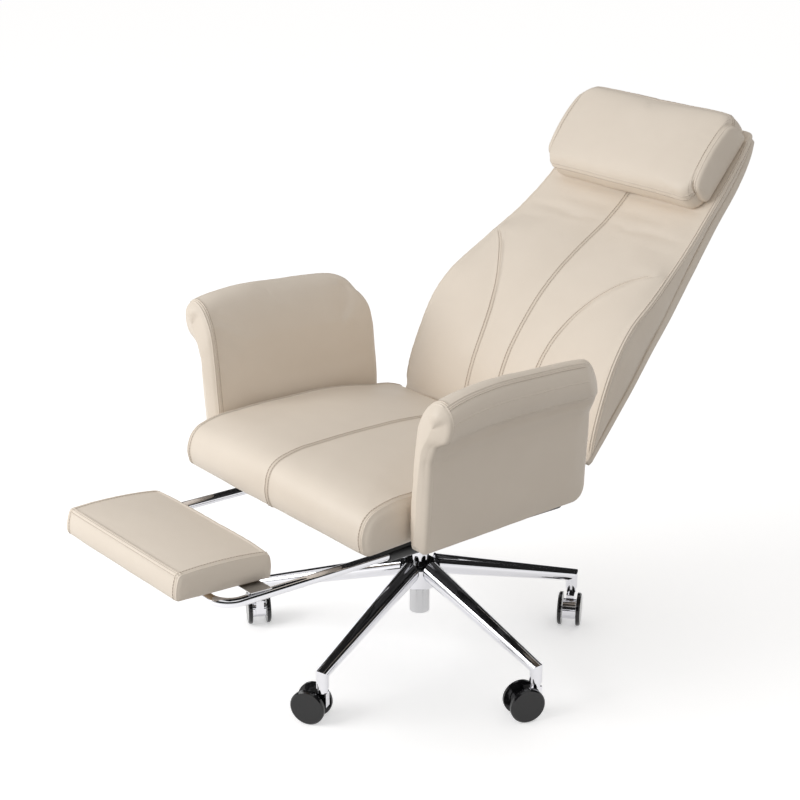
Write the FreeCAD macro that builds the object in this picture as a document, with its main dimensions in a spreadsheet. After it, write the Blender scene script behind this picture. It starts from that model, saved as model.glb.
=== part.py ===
# Reclining office chair with a pull-out footrest, on a five-star base with twin-wheel casters.
# Frame: +Z up, the chair faces -Y, +X is the sitter's left, origin on the floor under the column.
# It stands as photographed: back fully reclined, footrest out with its pad turned up.
import FreeCAD
import Part
import Sketcher

import math
import os

doc = FreeCAD.newDocument("recliner")
sheet = doc.addObject("Spreadsheet::Sheet", "dims")

DIMENSIONS = {
    # Five-star base and gas column
    "base_radius": 320, "first_leg_angle": -72.86, "leg_step": 72,
    "hub_radius": 36.5, "hub_bottom": 138, "hub_top": 180, "hub_edge": 3, "hub_flat": 33.4,
    "leg_root_z": 171.6, "leg_root_radius": 19.2, "leg_bend_z": 96, "leg_bend_radius": 11.8,
    "leg_spare": 24, "socket_radius": 11.5, "socket_bottom": 69, "socket_bore": 5.8, "socket_depth": 25,
    "tube_radius": 19, "tube_bottom": 82, "tube_floor": 4, "piston_radius": 17, "slide_gap": 0.3,
    "bush_radius": 29, "bush_shoulder": 183, "bush_top": 184.5, "bush_lip": 27,
    "piston_bottom": 140, "piston_top": 340,
    # Twin-wheel casters
    "wheel_radius": 32.5, "wheel_width": 7.8, "wheel_edge": 2.4, "wheel_inner": 14.2,
    "axle_radius": 4, "axle_half": 19, "axle_gap": 0.08, "trail": 22,
    "hood_half": 12.5, "hood_radius": 20, "neck_half": 7.5, "hood_neck": 9.5, "hood_shoulder": 60,
    "hood_top": 68.6, "stem_radius": 5.6, "stem_bottom": 56, "stem_top": 93,
    # Seat mechanism
    "housing_half": 80, "housing_front": -110, "housing_rear": 184, "housing_bottom": 297,
    "housing_top": 366, "housing_wall": 3, "housing_corner": 14,
    "taper_radius": 24, "taper_bottom": 283, "taper_top": 360,
    "plate_half": 112, "plate_front": -150, "plate_rear": 146, "plate_bottom": 366, "plate_top": 372,
    "pan_half": 236, "pan_front": -306, "pan_rear": 148, "pan_top": 385.7, "pan_corner": 30,
    "recline_y": 160, "recline_z": 352, "recline_pin": 6, "recline_half": 94, "pin_gap": 0.1,
    "strap_width": 46, "strap_thick": 5, "strap_inner": 206, "strap_step": 258, "strap_outer": 303,
    "strap_front": -150, "strap_rear": 14,
    # Rails of the footrest, in a frame tilted up towards the front
    "rail_y": -390, "rail_z": 345, "rail_tilt": 2.8, "rail_radius": 8.5, "rail_half": 187,
    "rail_front": -180, "rail_rear": 262, "rail_bend": 34, "rail_wall": 2,
    "sleeve_radius": 11.5, "sleeve_front": 156, "sleeve_rear": 560, "sleeve_gap": 0.4,
    "bore_front": 150, "bore_rear": 566,
    "web_thick": 3, "flange_half": 15, "flange_thick": 3,
    # Footrest pad, in a frame of its own at the cross bar
    "pad_tilt": 5.2, "pad_front": -78, "pad_rear": 111, "pad_half": 169, "pad_low": 14,
    "pad_high": 65, "pad_crown": 3, "pad_corner": 9, "pad_draw": 7, "board_inset": 14, "board_thick": 9,
    "clamp_half": 12, "clamp_width": 24, "clamp_place": 95, "clamp_low": 13, "clamp_gap": 0.4,
    "rest_front": 48, "rest_rear": 90, "rest_inner": 120, "rest_outer": 193, "rest_thick": 1.5,
    # Seat cushion
    "seat_half": 262, "seat_low": 386.5, "seat_top": 481, "seat_front": -343, "seat_rear": 164,
    "seat_nose_low": 408, "seat_nose_high": 432, "seat_brow": -292, "seat_brow_side": -330,
    "seat_brow_drop": 16, "seat_tuck": 9, "seat_crest": -110, "seat_fall": 88, "seat_fall_high": 448,
    "seat_heel": 133, "seat_heel_high": 424, "seat_tail": 14, "seat_draw": 26, "seat_draw_down": 22,
    "seat_crown_back": 9, "seat_crown": 5,
    # Arms
    "arm_inner": 272, "arm_low": 390.2, "arm_high": 667, "arm_front": -259, "arm_rear": 128,
    "arm_foot": 308, "arm_waist_in": 288, "arm_waist": 598, "arm_neck": 331, "arm_neck_low": 588,
    "arm_lip": 355, "arm_lip_low": 601, "arm_out": 365, "arm_out_low": 612, "arm_out_high": 645,
    "arm_crest": 342, "arm_crest_side": 359, "arm_crest_drop": 8, "arm_shoulder": 305,
    "arm_shoulder_high": 648, "arm_depth": 700, "arm_nose": 12, "arm_heel": 18, "arm_rear_top": 58,
    "arm_rear_side": 46, "arm_reach": 380,
    # Back, in a frame that runs up its rear face
    "back_y": 190, "back_z": 410, "back_slope": 47.5, "panel_thick": 10, "shell_gap": 0.3,
    "mount_half": 118, "mount_low": 62, "mount_high": 176, "mount_thick": 3.8,
    "bracket_inner": 84, "bracket_thick": 5, "bracket_half": 11, "bracket_elbow_y": 210,
    "bracket_elbow_z": 374, "bracket_low": 46, "bracket_high": 168,
    "pillow_half": 196, "pillow_low": 512, "pillow_high": 696, "pillow_rear": 20.8, "pillow_front": 89,
    "pillow_crown": 6, "pillow_corner": 16, "pillow_draw": 14,
    # Levers on the sitter's right
    "lever_radius": 3.5, "lever_root": 66, "lever_length": 184, "lever_droop": 9, "lever_z": 306,
    "lever_slot_half": 6, "lever_slot_low": 299, "lever_slot_tall": 14, "lever_barrel": 5.5,
    "lever_barrel_half": 5, "lever_pin": 2.5, "lug_half": 7, "lug_gap": 5.4, "lug_thick": 3, "lug_tall": 12,
    "height_lever_y": -62, "recline_lever_y": 66, "grip_length": 62, "grip_width": 11,
    "grip_thick": 5, "grip_overlap": 22,
}

for row, (name, number) in enumerate(DIMENSIONS.items(), start=1):
    sheet.set("A%d" % row, name)
    sheet.set("B%d" % row, str(number))
    sheet.setAlias("B%d" % row, name)
doc.recompute()

PARTS = []
LEG_COUNT = 5
AXIS_X = FreeCAD.Vector(1, 0, 0)
AXIS_Y = FreeCAD.Vector(0, 1, 0)
AXIS_Z = FreeCAD.Vector(0, 0, 1)


def size(name):
    """A driving dimension, read back from the sheet."""
    return float(sheet.get(name))


def total(text):
    """The number and the sheet expression of a sum of named dimensions."""
    number = 0.0
    sign = 1
    words = []
    for word in text.split():
        if word in ("+", "-"):
            sign = 1 if word == "+" else -1
            words.append(word)
        else:
            number += sign * size(word)
            words.append("dims." + word)
    return number, " ".join(words)


def bind(obj, **sizes):
    """Bind properties of an object to sums of named dimensions."""
    for prop, text in sizes.items():
        obj.setExpression(prop.replace("__", "."), total(text)[1])
    return obj


def keep(obj, label):
    """Name a finished sub-part and list it for export."""
    obj.Label = label
    PARTS.append(obj)
    return obj


def turn(axis, degrees):
    return FreeCAD.Rotation(axis, degrees)


def frame_at(x, y, z, rotation=None):
    return FreeCAD.Placement(FreeCAD.Vector(x, y, z), rotation or FreeCAD.Rotation())


def draw(body, name, role, corners):
    """Closed outline on an origin plane. A corner is a pair of sums of dimensions, or two pairs:
    where the run to it is an arc, the second pair is a place on that arc."""
    plane = [item for item in body.Origin.OriginFeatures if item.Role == role][0]
    sketch = body.newObject("Sketcher::SketchObject", name)
    sketch.AttachmentSupport = [(plane, "")]
    sketch.MapMode = "FlatFace"
    points = [[(0.0, "") if text == "0" else total(text) for text in corner] for corner in corners]
    ends = [FreeCAD.Vector(point[0][0], point[1][0], 0) for point in points]
    count = len(ends)
    first = {}
    last = {}
    for index in range(count):
        after = (index + 1) % count
        first[index] = 1
        last[index] = 2
        if len(points[after]) == 2:
            sketch.addGeometry(Part.LineSegment(ends[index], ends[after]), False)
            continue
        middle = FreeCAD.Vector(points[after][2][0], points[after][3][0], 0)
        arc = Part.Arc(ends[index], middle, ends[after])
        sketch.addGeometry(arc, False)
        sketch.addConstraint(Sketcher.Constraint("Radius", index, arc.toShape().Curve.Radius))
        if (middle - ends[index]).cross(ends[after] - middle).z < 0:
            first[index] = 2
            last[index] = 1
    for index in range(count):
        after = (index + 1) % count
        sketch.addConstraint(Sketcher.Constraint("Coincident", index, last[index], after, first[after]))
    for index, point in enumerate(points):
        for (number, words), kind, line in zip(point[:2], ("DistanceX", "DistanceY"), (-2, -1)):
            if not words:
                sketch.addConstraint(Sketcher.Constraint("PointOnObject", index, first[index], line))
                continue
            place = sketch.addConstraint(Sketcher.Constraint(kind, -1, 1, index, first[index], number))
            sketch.setExpression("Constraints[%d]" % place, words)
    return sketch


def pad(body, sketch, length, midplane=False, reverse=False):
    feature = body.newObject("PartDesign::Pad", sketch.Name + "_pad")
    feature.Profile = sketch
    feature.setExpression("Length", total(length)[1])
    feature.Midplane = midplane
    feature.Reversed = reverse
    return feature


def revolve(body, sketch, axis):
    feature = body.newObject("PartDesign::Revolution", sketch.Name + "_turned")
    feature.Profile = sketch
    feature.ReferenceAxis = (sketch, [axis])
    feature.Angle = 360
    return feature


def new_body(name):
    return doc.addObject("PartDesign::Body", name)


def edges_along(feature, direction, places=None, reach=3.0):
    """Names of the straight edges along a direction, all of them or those that pass the given places."""
    doc.recompute()
    names = []
    for index, edge in enumerate(feature.Shape.Edges, start=1):
        if edge.Curve.TypeId != "Part::GeomLine":
            continue
        if abs(edge.Curve.Direction.dot(direction)) < 0.999:
            continue
        if places is not None:
            line = edge.Curve
            if min(line.value(line.parameter(spot)).distanceToPoint(spot) for spot in places) > reach:
                continue
        names.append("Edge%d" % index)
    return names


def fillet(body, feature, edges, radius):
    rounded = body.newObject("PartDesign::Fillet", feature.Name + "_round")
    rounded.Base = (feature, edges)
    rounded.Radius = radius
    return rounded


def loose(label, shape, placement=None):
    """A sub-part made with Part's own functions."""
    feature = doc.addObject("Part::Feature", label)
    feature.Shape = shape
    if placement is not None:
        feature.Placement = placement
    return keep(feature, label)


# Base hub: a turned ring on the column tube, with a flat for the root of each leg
hub = new_body("hub_ring")
hub_outline = draw(hub, "hub_outline", "XZ_Plane", [
    ("tube_radius", "hub_bottom"),
    ("hub_radius - hub_edge", "hub_bottom"),
    ("hub_radius", "hub_bottom + hub_edge"),
    ("hub_radius", "hub_top - hub_edge"),
    ("hub_radius - hub_edge", "hub_top"),
    ("tube_radius", "hub_top"),
])
revolve(hub, hub_outline, "V_Axis")
flats = doc.addObject("Part::Prism", "hub_flats")
flats.Polygon = LEG_COUNT
flats.setExpression("Circumradius", "dims.hub_flat / cos(180 deg / %d)" % LEG_COUNT)
flats.setExpression("Height", "dims.hub_top")
flats.Placement = frame_at(0, 0, 0, turn(AXIS_Z, size("first_leg_angle") + size("leg_step") / 2))
hub_part = doc.addObject("Part::Common", "hub_with_flats")
hub_part.Base = hub
hub_part.Tool = flats
keep(hub_part, "base_hub")

# Column tube, closed at its foot, with the plastic bush that guides the piston on top of the hub
tube = new_body("column_tube")
tube_outline = draw(tube, "tube_outline", "XZ_Plane", [
    ("0", "tube_bottom"),
    ("tube_radius", "tube_bottom"),
    ("tube_radius", "hub_top"),
    ("piston_radius + slide_gap", "hub_top"),
    ("piston_radius + slide_gap", "tube_bottom + tube_floor"),
    ("0", "tube_bottom + tube_floor"),
])
revolve(tube, tube_outline, "V_Axis")
keep(tube, "column_tube")

bush = new_body("column_bush")
bush_outline = draw(bush, "bush_outline", "XZ_Plane", [
    ("piston_radius + slide_gap", "hub_top"),
    ("bush_radius", "hub_top"),
    ("bush_radius", "bush_shoulder"),
    ("bush_lip", "bush_top"),
    ("piston_radius + slide_gap", "bush_top"),
])
revolve(bush, bush_outline, "V_Axis")
keep(bush, "column_bush")

piston = doc.addObject("Part::Cylinder", "gas_piston")
bind(piston, Radius="piston_radius", Height="piston_top - piston_bottom", Placement__Base__z="piston_bottom")
keep(piston, "gas_piston")


# Five tapered legs: a cone that runs from the hub to the bend, mitred there against the upright
# tube of its caster socket
leg_run = size("base_radius") - size("hub_flat")
leg_fall = size("leg_root_z") - size("leg_bend_z")
leg_slope = math.atan2(leg_fall, leg_run)
leg_length = math.hypot(leg_run, leg_fall)
leg_taper = (size("leg_root_radius") - size("leg_bend_radius")) / leg_length
leg_turn = turn(AXIS_Y, 90 + math.degrees(leg_slope))
leg_spare = size("leg_spare")
leg_start = FreeCAD.Vector(size("hub_flat"), 0, size("leg_root_z"))
leg_start = leg_start - leg_turn.multVec(AXIS_Z) * leg_spare
leg_cone = doc.addObject("Part::Cone", "leg_cone")
leg_cone.Radius1 = size("leg_root_radius") + leg_taper * leg_spare
leg_cone.Radius2 = size("leg_bend_radius") - leg_taper * leg_spare
leg_cone.Height = leg_length + leg_spare * 2
leg_cone.Placement = FreeCAD.Placement(leg_start, leg_turn)
leg_tube = doc.addObject("Part::Cylinder", "leg_socket_tube")
bind(leg_tube, Radius="socket_radius", Height="leg_root_z - socket_bottom",
     Placement__Base__x="base_radius", Placement__Base__z="socket_bottom")
doc.recompute()

# The mitre halves the angle between the leg and the socket tube; a large block stands on each side of it
block = leg_length * 2
mitre_turn = turn(AXIS_Y, -(90 - math.degrees(leg_slope)) / 2)
mitre_place = FreeCAD.Vector(size("base_radius"), 0, size("leg_bend_z"))
upper = Part.makeBox(block, block, block, FreeCAD.Vector(-block / 2, -block / 2, 0))
upper.Placement = FreeCAD.Placement(mitre_place, mitre_turn)
core = Part.makeBox(size("hub_flat") * 2, block, block, FreeCAD.Vector(-size("hub_flat"), -block / 2, 0))
leg_shape = leg_cone.Shape.common(upper).cut(core).fuse(leg_tube.Shape.cut(upper))
drill_foot = FreeCAD.Vector(size("base_radius"), 0, size("socket_bottom"))
leg_shape = leg_shape.cut(Part.makeCylinder(size("socket_bore"), size("socket_depth"), drill_foot))
leg_shape = leg_shape.removeSplitter()
for leg in range(LEG_COUNT):
    heading = size("first_leg_angle") + leg * size("leg_step")
    loose("base_leg_%d" % (leg + 1), leg_shape, frame_at(0, 0, 0, turn(AXIS_Z, heading)))


# Casters: a chromed hood with its stem and axle, between two plastic wheels
CASTER_HEADINGS = (208, 249, -51, 120, 151)


def make_caster(index, heading):
    name = "caster_%d" % (index + 1)
    angle = math.radians(size("first_leg_angle") + index * size("leg_step"))
    stem = FreeCAD.Vector(size("base_radius") * math.cos(angle), size("base_radius") * math.sin(angle), 0)
    place = FreeCAD.Placement(stem, turn(AXIS_Z, heading))
    wheel_place = place * frame_at(size("trail"), 0, size("wheel_radius"))

    disc = doc.addObject("Part::Cylinder", name + "_disc")
    bind(disc, Radius="hood_radius", Height="hood_half + hood_half")
    disc.Placement = frame_at(size("trail"), size("hood_half"), size("wheel_radius"), turn(AXIS_X, 90))
    neck = doc.addObject("Part::Box", name + "_neck")
    bind(neck, Length="trail + hood_neck", Width="neck_half + neck_half",
         Height="hood_shoulder - wheel_radius")
    neck.Placement = frame_at(-size("hood_neck"), -size("neck_half"), size("wheel_radius"))
    boss = doc.addObject("Part::Cylinder", name + "_boss")
    bind(boss, Radius="hood_neck", Height="hood_top - hood_shoulder", Placement__Base__z="hood_shoulder")
    body = doc.addObject("Part::MultiFuse", name + "_body")
    body.Shapes = [disc, neck, boss]
    stem_hole = doc.addObject("Part::Cylinder", name + "_stem_hole")
    bind(stem_hole, Radius="stem_radius", Height="stem_top", Placement__Base__z="stem_bottom")
    axle_hole = doc.addObject("Part::Cylinder", name + "_axle_hole")
    bind(axle_hole, Radius="axle_radius", Height="axle_half + axle_half")
    axle_hole.Placement = frame_at(size("trail"), size("axle_half"), size("wheel_radius"), turn(AXIS_X, 90))
    holes = doc.addObject("Part::MultiFuse", name + "_holes")
    holes.Shapes = [stem_hole, axle_hole]
    hood = doc.addObject("Part::Cut", name + "_hood")
    hood.Base = body
    hood.Tool = holes
    hood.Placement = place
    keep(hood, name + "_hood")

    stem_pin = doc.addObject("Part::Cylinder", name + "_stem_pin")
    bind(stem_pin, Radius="stem_radius", Height="stem_top - stem_bottom", Placement__Base__z="stem_bottom")
    axle_pin = doc.addObject("Part::Cylinder", name + "_axle_pin")
    bind(axle_pin, Radius="axle_radius", Height="axle_half + axle_half")
    axle_pin.Placement = axle_hole.Placement
    pins = doc.addObject("Part::Compound", name + "_pins")
    pins.Links = [stem_pin, axle_pin]
    pins.Placement = place
    keep(pins, name + "_pins")

    for side, half_turn in (("left", 0), ("right", 180)):
        wheel = new_body(name + "_wheel_" + side)
        profile = draw(wheel, name + "_tyre_" + side, "YZ_Plane", [
            ("wheel_inner", "axle_radius + axle_gap"),
            ("wheel_inner", "wheel_radius"),
            ("wheel_inner + wheel_width - wheel_edge", "wheel_radius"),
            ("wheel_inner + wheel_width", "wheel_radius - wheel_edge"),
            ("wheel_inner + wheel_width", "0"),
            ("axle_half + slide_gap", "0"),
            ("axle_half + slide_gap", "axle_radius + axle_gap"),
        ])
        revolve(wheel, profile, "H_Axis")
        wheel.Placement = wheel_place * frame_at(0, 0, 0, turn(AXIS_Z, half_turn))
        keep(wheel, name + "_wheel_" + side)


for leg, caster_heading in enumerate(CASTER_HEADINGS):
    make_caster(leg, caster_heading)


# Mechanism under the seat: a folded steel tray round the taper socket
housing = new_body("housing_blank")
housing_outline = draw(housing, "housing_outline", "XY_Plane", [
    ("- housing_half", "housing_front"),
    ("housing_half", "housing_front"),
    ("housing_half", "housing_rear"),
    ("- housing_half", "housing_rear"),
])
housing.Placement = frame_at(0, 0, size("housing_bottom"))
housing_block = pad(housing, housing_outline, "housing_top - housing_bottom")
housing_soft = fillet(housing, housing_block, edges_along(housing_block, AXIS_Z), size("housing_corner"))
housing_well = draw(housing, "housing_well", "XY_Plane", [
    ("housing_wall - housing_half", "housing_front + housing_wall"),
    ("housing_half - housing_wall", "housing_front + housing_wall"),
    ("housing_half - housing_wall", "housing_rear - housing_wall"),
    ("housing_wall - housing_half", "housing_rear - housing_wall"),
])
housing_well.AttachmentOffset = frame_at(0, 0, size("housing_wall"))
well = housing.newObject("PartDesign::Pocket", "housing_hollow")
well.Profile = housing_well
well.Reversed = True
well.setExpression("Length", total("housing_top - housing_bottom")[1])
doc.recompute()
LEVERS = ("height_lever", "recline_lever")


def lever_slot(name):
    """Opening in the tray's right wall for a lever."""
    slot = doc.addObject("Part::Box", name + "_slot")
    bind(slot, Length="housing_wall + housing_wall", Width="lever_slot_half + lever_slot_half",
         Height="lever_slot_tall", Placement__Base__x="- housing_half - pin_gap",
         Placement__Base__y=name + "_y - lever_slot_half", Placement__Base__z="lever_slot_low")
    return slot


socket_hole = doc.addObject("Part::Cylinder", "socket_hole")
bind(socket_hole, Radius="taper_radius", Height="taper_top - taper_bottom", Placement__Base__z="taper_bottom")
pivot_hole = doc.addObject("Part::Cylinder", "pivot_hole")
bind(pivot_hole, Radius="recline_pin", Height="recline_half + recline_half")
pivot_hole.Placement = frame_at(-size("recline_half"), size("recline_y"), size("recline_z"), turn(AXIS_Y, 90))
tray_holes = doc.addObject("Part::MultiFuse", "tray_holes")
tray_holes.Shapes = [socket_hole, pivot_hole] + [lever_slot(name) for name in LEVERS]
tray = doc.addObject("Part::Cut", "mechanism_tray")
tray.Base = housing
tray.Tool = tray_holes


def lever_lugs(name):
    """Two lugs on the tray's floor and the pin that a lever turns on between them."""
    pieces = []
    for side, start in (("front", "_y - lug_gap - lug_thick"), ("rear", "_y + lug_gap")):
        lug = doc.addObject("Part::Box", name + "_lug_" + side)
        bind(lug, Length="lug_half + lug_half", Width="lug_thick", Height="lug_tall",
             Placement__Base__x="- lever_root - lug_half", Placement__Base__y=name + start,
             Placement__Base__z="housing_bottom + housing_wall")
        pieces.append(lug)
    pin = doc.addObject("Part::Cylinder", name + "_pin")
    bind(pin, Radius="lever_pin", Height="lug_gap + lug_gap + lug_thick")
    pin.Placement = frame_at(-size("lever_root"), size(name + "_y") - size("lug_gap") - size("lug_thick") / 2,
                             size("lever_z"), turn(AXIS_X, -90))
    pieces.append(pin)
    return pieces


housing_whole = doc.addObject("Part::MultiFuse", "housing_whole")
housing_whole.Shapes = [tray] + [piece for name in LEVERS for piece in lever_lugs(name)]
keep(housing_whole, "mechanism_housing")

taper = new_body("taper_socket")
taper_outline = draw(taper, "taper_outline", "XZ_Plane", [
    ("piston_radius + axle_gap", "taper_bottom"),
    ("taper_radius", "taper_bottom"),
    ("taper_radius", "taper_top"),
    ("piston_radius + axle_gap", "taper_top"),
])
revolve(taper, taper_outline, "V_Axis")
keep(taper, "taper_socket")

recline_pin = doc.addObject("Part::Cylinder", "recline_pin")
bind(recline_pin, Radius="recline_pin", Height="recline_half + recline_half")
recline_pin.Placement = pivot_hole.Placement
keep(recline_pin, "recline_pin")

# Seat plate and plywood pan
def flat_board(name, corners, base, thickness, corner):
    """A flat piece with rounded corners, lying on a level plane."""
    board = new_body(name)
    outline = draw(board, name + "_outline", "XY_Plane", corners)
    board.Placement = frame_at(0, 0, size(base))
    block = pad(board, outline, thickness)
    fillet(board, block, edges_along(block, AXIS_Z), size(corner))
    return keep(board, name)


flat_board("seat_plate", [("- plate_half", "plate_front"), ("plate_half", "plate_front"),
                          ("plate_half", "plate_rear"), ("- plate_half", "plate_rear")],
           "plate_bottom", "plate_top - plate_bottom", "housing_corner")
flat_board("seat_pan", [("- pan_half", "pan_front"), ("pan_half", "pan_front"),
                        ("pan_half", "pan_rear"), ("- pan_half", "pan_rear")],
           "plate_top", "pan_top - plate_top", "pan_corner")


def mirrored(source, label):
    """The same piece on the other side of the chair."""
    twin = doc.addObject("Part::Mirroring", label)
    twin.Source = source
    twin.Normal = AXIS_X
    return keep(twin, label)


# Steel straps that carry the arms, bolted under the pan
def make_strap(end):
    strap = new_body("arm_strap_left_" + end)
    outline = draw(strap, "strap_outline_" + end, "XZ_Plane", [
        ("strap_inner", "plate_top - strap_thick"),
        ("strap_step + strap_thick", "plate_top - strap_thick"),
        ("strap_step + strap_thick", "arm_low - strap_thick"),
        ("strap_outer", "arm_low - strap_thick"),
        ("strap_outer", "arm_low"),
        ("strap_step", "arm_low"),
        ("strap_step", "plate_top"),
        ("strap_inner", "plate_top"),
    ])
    pad(strap, outline, "strap_width", reverse=True)
    strap.Placement = frame_at(0, size("strap_" + end), 0)
    keep(strap, "arm_strap_left_" + end)
    mirrored(strap, "arm_strap_right_" + end)


make_strap("front")
make_strap("rear")

# Footrest: a bent tube that slides in two sleeves under the pan
rail_place = frame_at(0, size("rail_y"), size("rail_z"), turn(AXIS_X, -size("rail_tilt")))


def rail_cylinder(name, radius, start, finish):
    """Cylinder on the left rail's axis, in the rails' frame."""
    rod = doc.addObject("Part::Cylinder", name)
    bind(rod, Radius=radius, Height=finish + " - " + start)
    rod.Placement = rail_place * frame_at(size("rail_half"), size(start), 0, turn(AXIS_X, -90))
    return rod


sleeve = rail_cylinder("sleeve_tube", "sleeve_radius", "sleeve_front", "sleeve_rear")
front_end = rail_place.multVec(FreeCAD.Vector(0, size("sleeve_front"), 0))
rear_end = rail_place.multVec(FreeCAD.Vector(0, size("sleeve_rear"), 0))
web_wire = Part.makePolygon([
    FreeCAD.Vector(0, front_end.y, front_end.z),
    FreeCAD.Vector(0, rear_end.y, rear_end.z),
    FreeCAD.Vector(0, rear_end.y, size("plate_top")),
    FreeCAD.Vector(0, front_end.y, size("plate_top")),
    FreeCAD.Vector(0, front_end.y, front_end.z),
])
web = doc.addObject("Part::Feature", "sleeve_web")
web.Shape = Part.Face(web_wire).extrude(FreeCAD.Vector(size("web_thick"), 0, 0))
web.Placement = frame_at(size("rail_half") - size("web_thick") / 2, 0, 0)
flange = doc.addObject("Part::Box", "sleeve_flange")
bind(flange, Length="flange_half + flange_half", Height="flange_thick",
     Placement__Base__x="rail_half - flange_half", Placement__Base__z="plate_top - flange_thick")
flange.Width = rear_end.y - front_end.y
flange.Placement = frame_at(0, front_end.y, 0)
bind(flange, Placement__Base__x="rail_half - flange_half", Placement__Base__z="plate_top - flange_thick")
sleeve_solid = doc.addObject("Part::MultiFuse", "sleeve_solid")
sleeve_solid.Shapes = [sleeve, web, flange]
sleeve_bore = rail_cylinder("sleeve_bore", "rail_radius + sleeve_gap", "bore_front", "bore_rear")
guide = doc.addObject("Part::Cut", "rail_guide_left")
guide.Base = sleeve_solid
guide.Tool = sleeve_bore
keep(guide, "rail_guide_left")
mirrored(guide, "rail_guide_right")


def footrest_path():
    """Centre line of the bent tube: two rails joined by a cross bar through quarter bends."""
    half = size("rail_half")
    front = size("rail_front")
    rear = size("rail_rear")
    bend = size("rail_bend")
    dip = bend * (1 - math.sqrt(0.5))
    spots = [FreeCAD.Vector(x, y, 0) for x, y in (
        (half, rear), (half, front + bend), (half - dip, front + dip), (half - bend, front),
        (bend - half, front), (dip - half, front + dip), (-half, front + bend), (-half, rear))]
    return Part.Wire([
        Part.makeLine(spots[0], spots[1]),
        Part.Arc(spots[1], spots[2], spots[3]).toShape(),
        Part.makeLine(spots[3], spots[4]),
        Part.Arc(spots[4], spots[5], spots[6]).toShape(),
        Part.makeLine(spots[6], spots[7]),
    ])


tube_path = footrest_path()
tube_start = tube_path.Vertexes[0].Point


def bent_rod(radius):
    ring = Part.Wire(Part.makeCircle(radius, tube_start, AXIS_Y))
    return tube_path.makePipeShell([ring], True, False)


tube_shape = bent_rod(size("rail_radius")).cut(bent_rod(size("rail_radius") - size("rail_wall")))
loose("footrest_frame", tube_shape, rail_place)

# Pad group of the footrest, in a frame on the cross bar that tilts with the pad
bar_spot = rail_place.multVec(FreeCAD.Vector(0, size("rail_front"), 0))
pad_place = frame_at(0, bar_spot.y, bar_spot.z, turn(AXIS_X, -size("pad_tilt")))


def in_pad_frame(obj, x, y, z, rotation=None):
    obj.Placement = pad_place * frame_at(x, y, z, rotation)
    return obj


board = doc.addObject("Part::Box", "pad_board_blank")
bind(board, Length="pad_half + pad_half - board_inset - board_inset",
     Width="pad_rear - pad_front - board_inset - board_inset", Height="board_thick")
in_pad_frame(board, size("board_inset") - size("pad_half"), size("pad_front") + size("board_inset"),
             size("pad_low"))
keep(board, "footrest_board")

for side_name, side_sign in (("left", 1), ("right", -1)):
    block = doc.addObject("Part::Box", "clamp_block_" + side_name)
    bind(block, Length="clamp_width", Width="clamp_half + clamp_half", Height="pad_low + clamp_low")
    in_pad_frame(block, side_sign * size("clamp_place") - size("clamp_width") / 2, -size("clamp_half"),
                 -size("clamp_low"))
    clamp_bore = doc.addObject("Part::Cylinder", "clamp_bore_" + side_name)
    bind(clamp_bore, Radius="rail_radius + clamp_gap", Height="clamp_width + clamp_width")
    in_pad_frame(clamp_bore, side_sign * size("clamp_place") - size("clamp_width"), 0, 0, turn(AXIS_Y, 90))
    clamp = doc.addObject("Part::Cut", "footrest_clamp_" + side_name)
    clamp.Base = block
    clamp.Tool = clamp_bore
    keep(clamp, "footrest_clamp_" + side_name)
    rest = doc.addObject("Part::Box", "footrest_rest_" + side_name)
    bind(rest, Length="rest_outer - rest_inner", Width="rest_rear - rest_front", Height="rest_thick")
    rest_start = size("rest_inner") if side_sign > 0 else -size("rest_outer")
    in_pad_frame(rest, rest_start, size("rest_front"), size("pad_low") - size("rest_thick"))
    keep(rest, "footrest_rest_" + side_name)


def closed_wire(start, steps, place):
    """Wire of lines and arcs. A step is the next corner, or a place on an arc and then its end."""
    edges = []
    here = start
    for step in steps:
        if len(step) == 2:
            edges.append(Part.makeLine(place(*here), place(*step)))
        else:
            edges.append(Part.Arc(place(*here), place(*step[:2]), place(*step[2:])).toShape())
        here = step[-2:]
    return Part.Wire(edges)


# How far a cushion is drawn in, as a share, at places across its half width
HALF_SHAPE = ((1.0, 1.0), (0.985, 0.55), (0.95, 0.25), (0.88, 0.08), (0.6, 0.0), (0.3, 0.0))
END_SHAPE = [(-share, inset) for share, inset in HALF_SHAPE] + [(0.0, 0.0)] + list(reversed(HALF_SHAPE))


def box_cushion(half, front, rear, low, high, crown, corner, draw_in, place):
    """Boxed cushion: crowned top, rounded seams and sides drawn in towards its two ends.
    The profile lies in (length, height) and the sections follow one another across the width."""
    wires = []
    for share, inset in END_SHAPE:
        gap = draw_in * inset
        near = front + gap * 0.6
        far = rear - gap * 0.6
        bottom = low + gap * 0.5
        top = high - gap
        rise = crown * (1.1 - share * share)
        bulge = corner * 0.25
        wires.append(closed_wire((near + bulge, bottom), (
            (far - bulge, bottom),
            (far, (bottom + top) / 2, far - bulge, top - corner),
            (far - corner * 0.45, top - corner * 0.25, far - corner * 1.2, top),
            ((near + far) / 2, top + rise, near + corner * 1.2, top),
            (near + corner * 0.45, top - corner * 0.25, near + bulge, top - corner),
            (near, (bottom + top) / 2, near + bulge, bottom),
        ), lambda y, z, across=share * half: place(across, y, z)))
    return Part.makeLoft(wires, True, True)


pad_shape = box_cushion(size("pad_half"), size("pad_front"), size("pad_rear"), size("pad_low"), size("pad_high"),
                        size("pad_crown"), size("pad_corner"), size("pad_draw"), FreeCAD.Vector)
doc.recompute()
pad_shape = pad_shape.cut(board.Shape.transformed(pad_place.inverse().Matrix))
loose("footrest_pad", pad_shape, pad_place)


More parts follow.
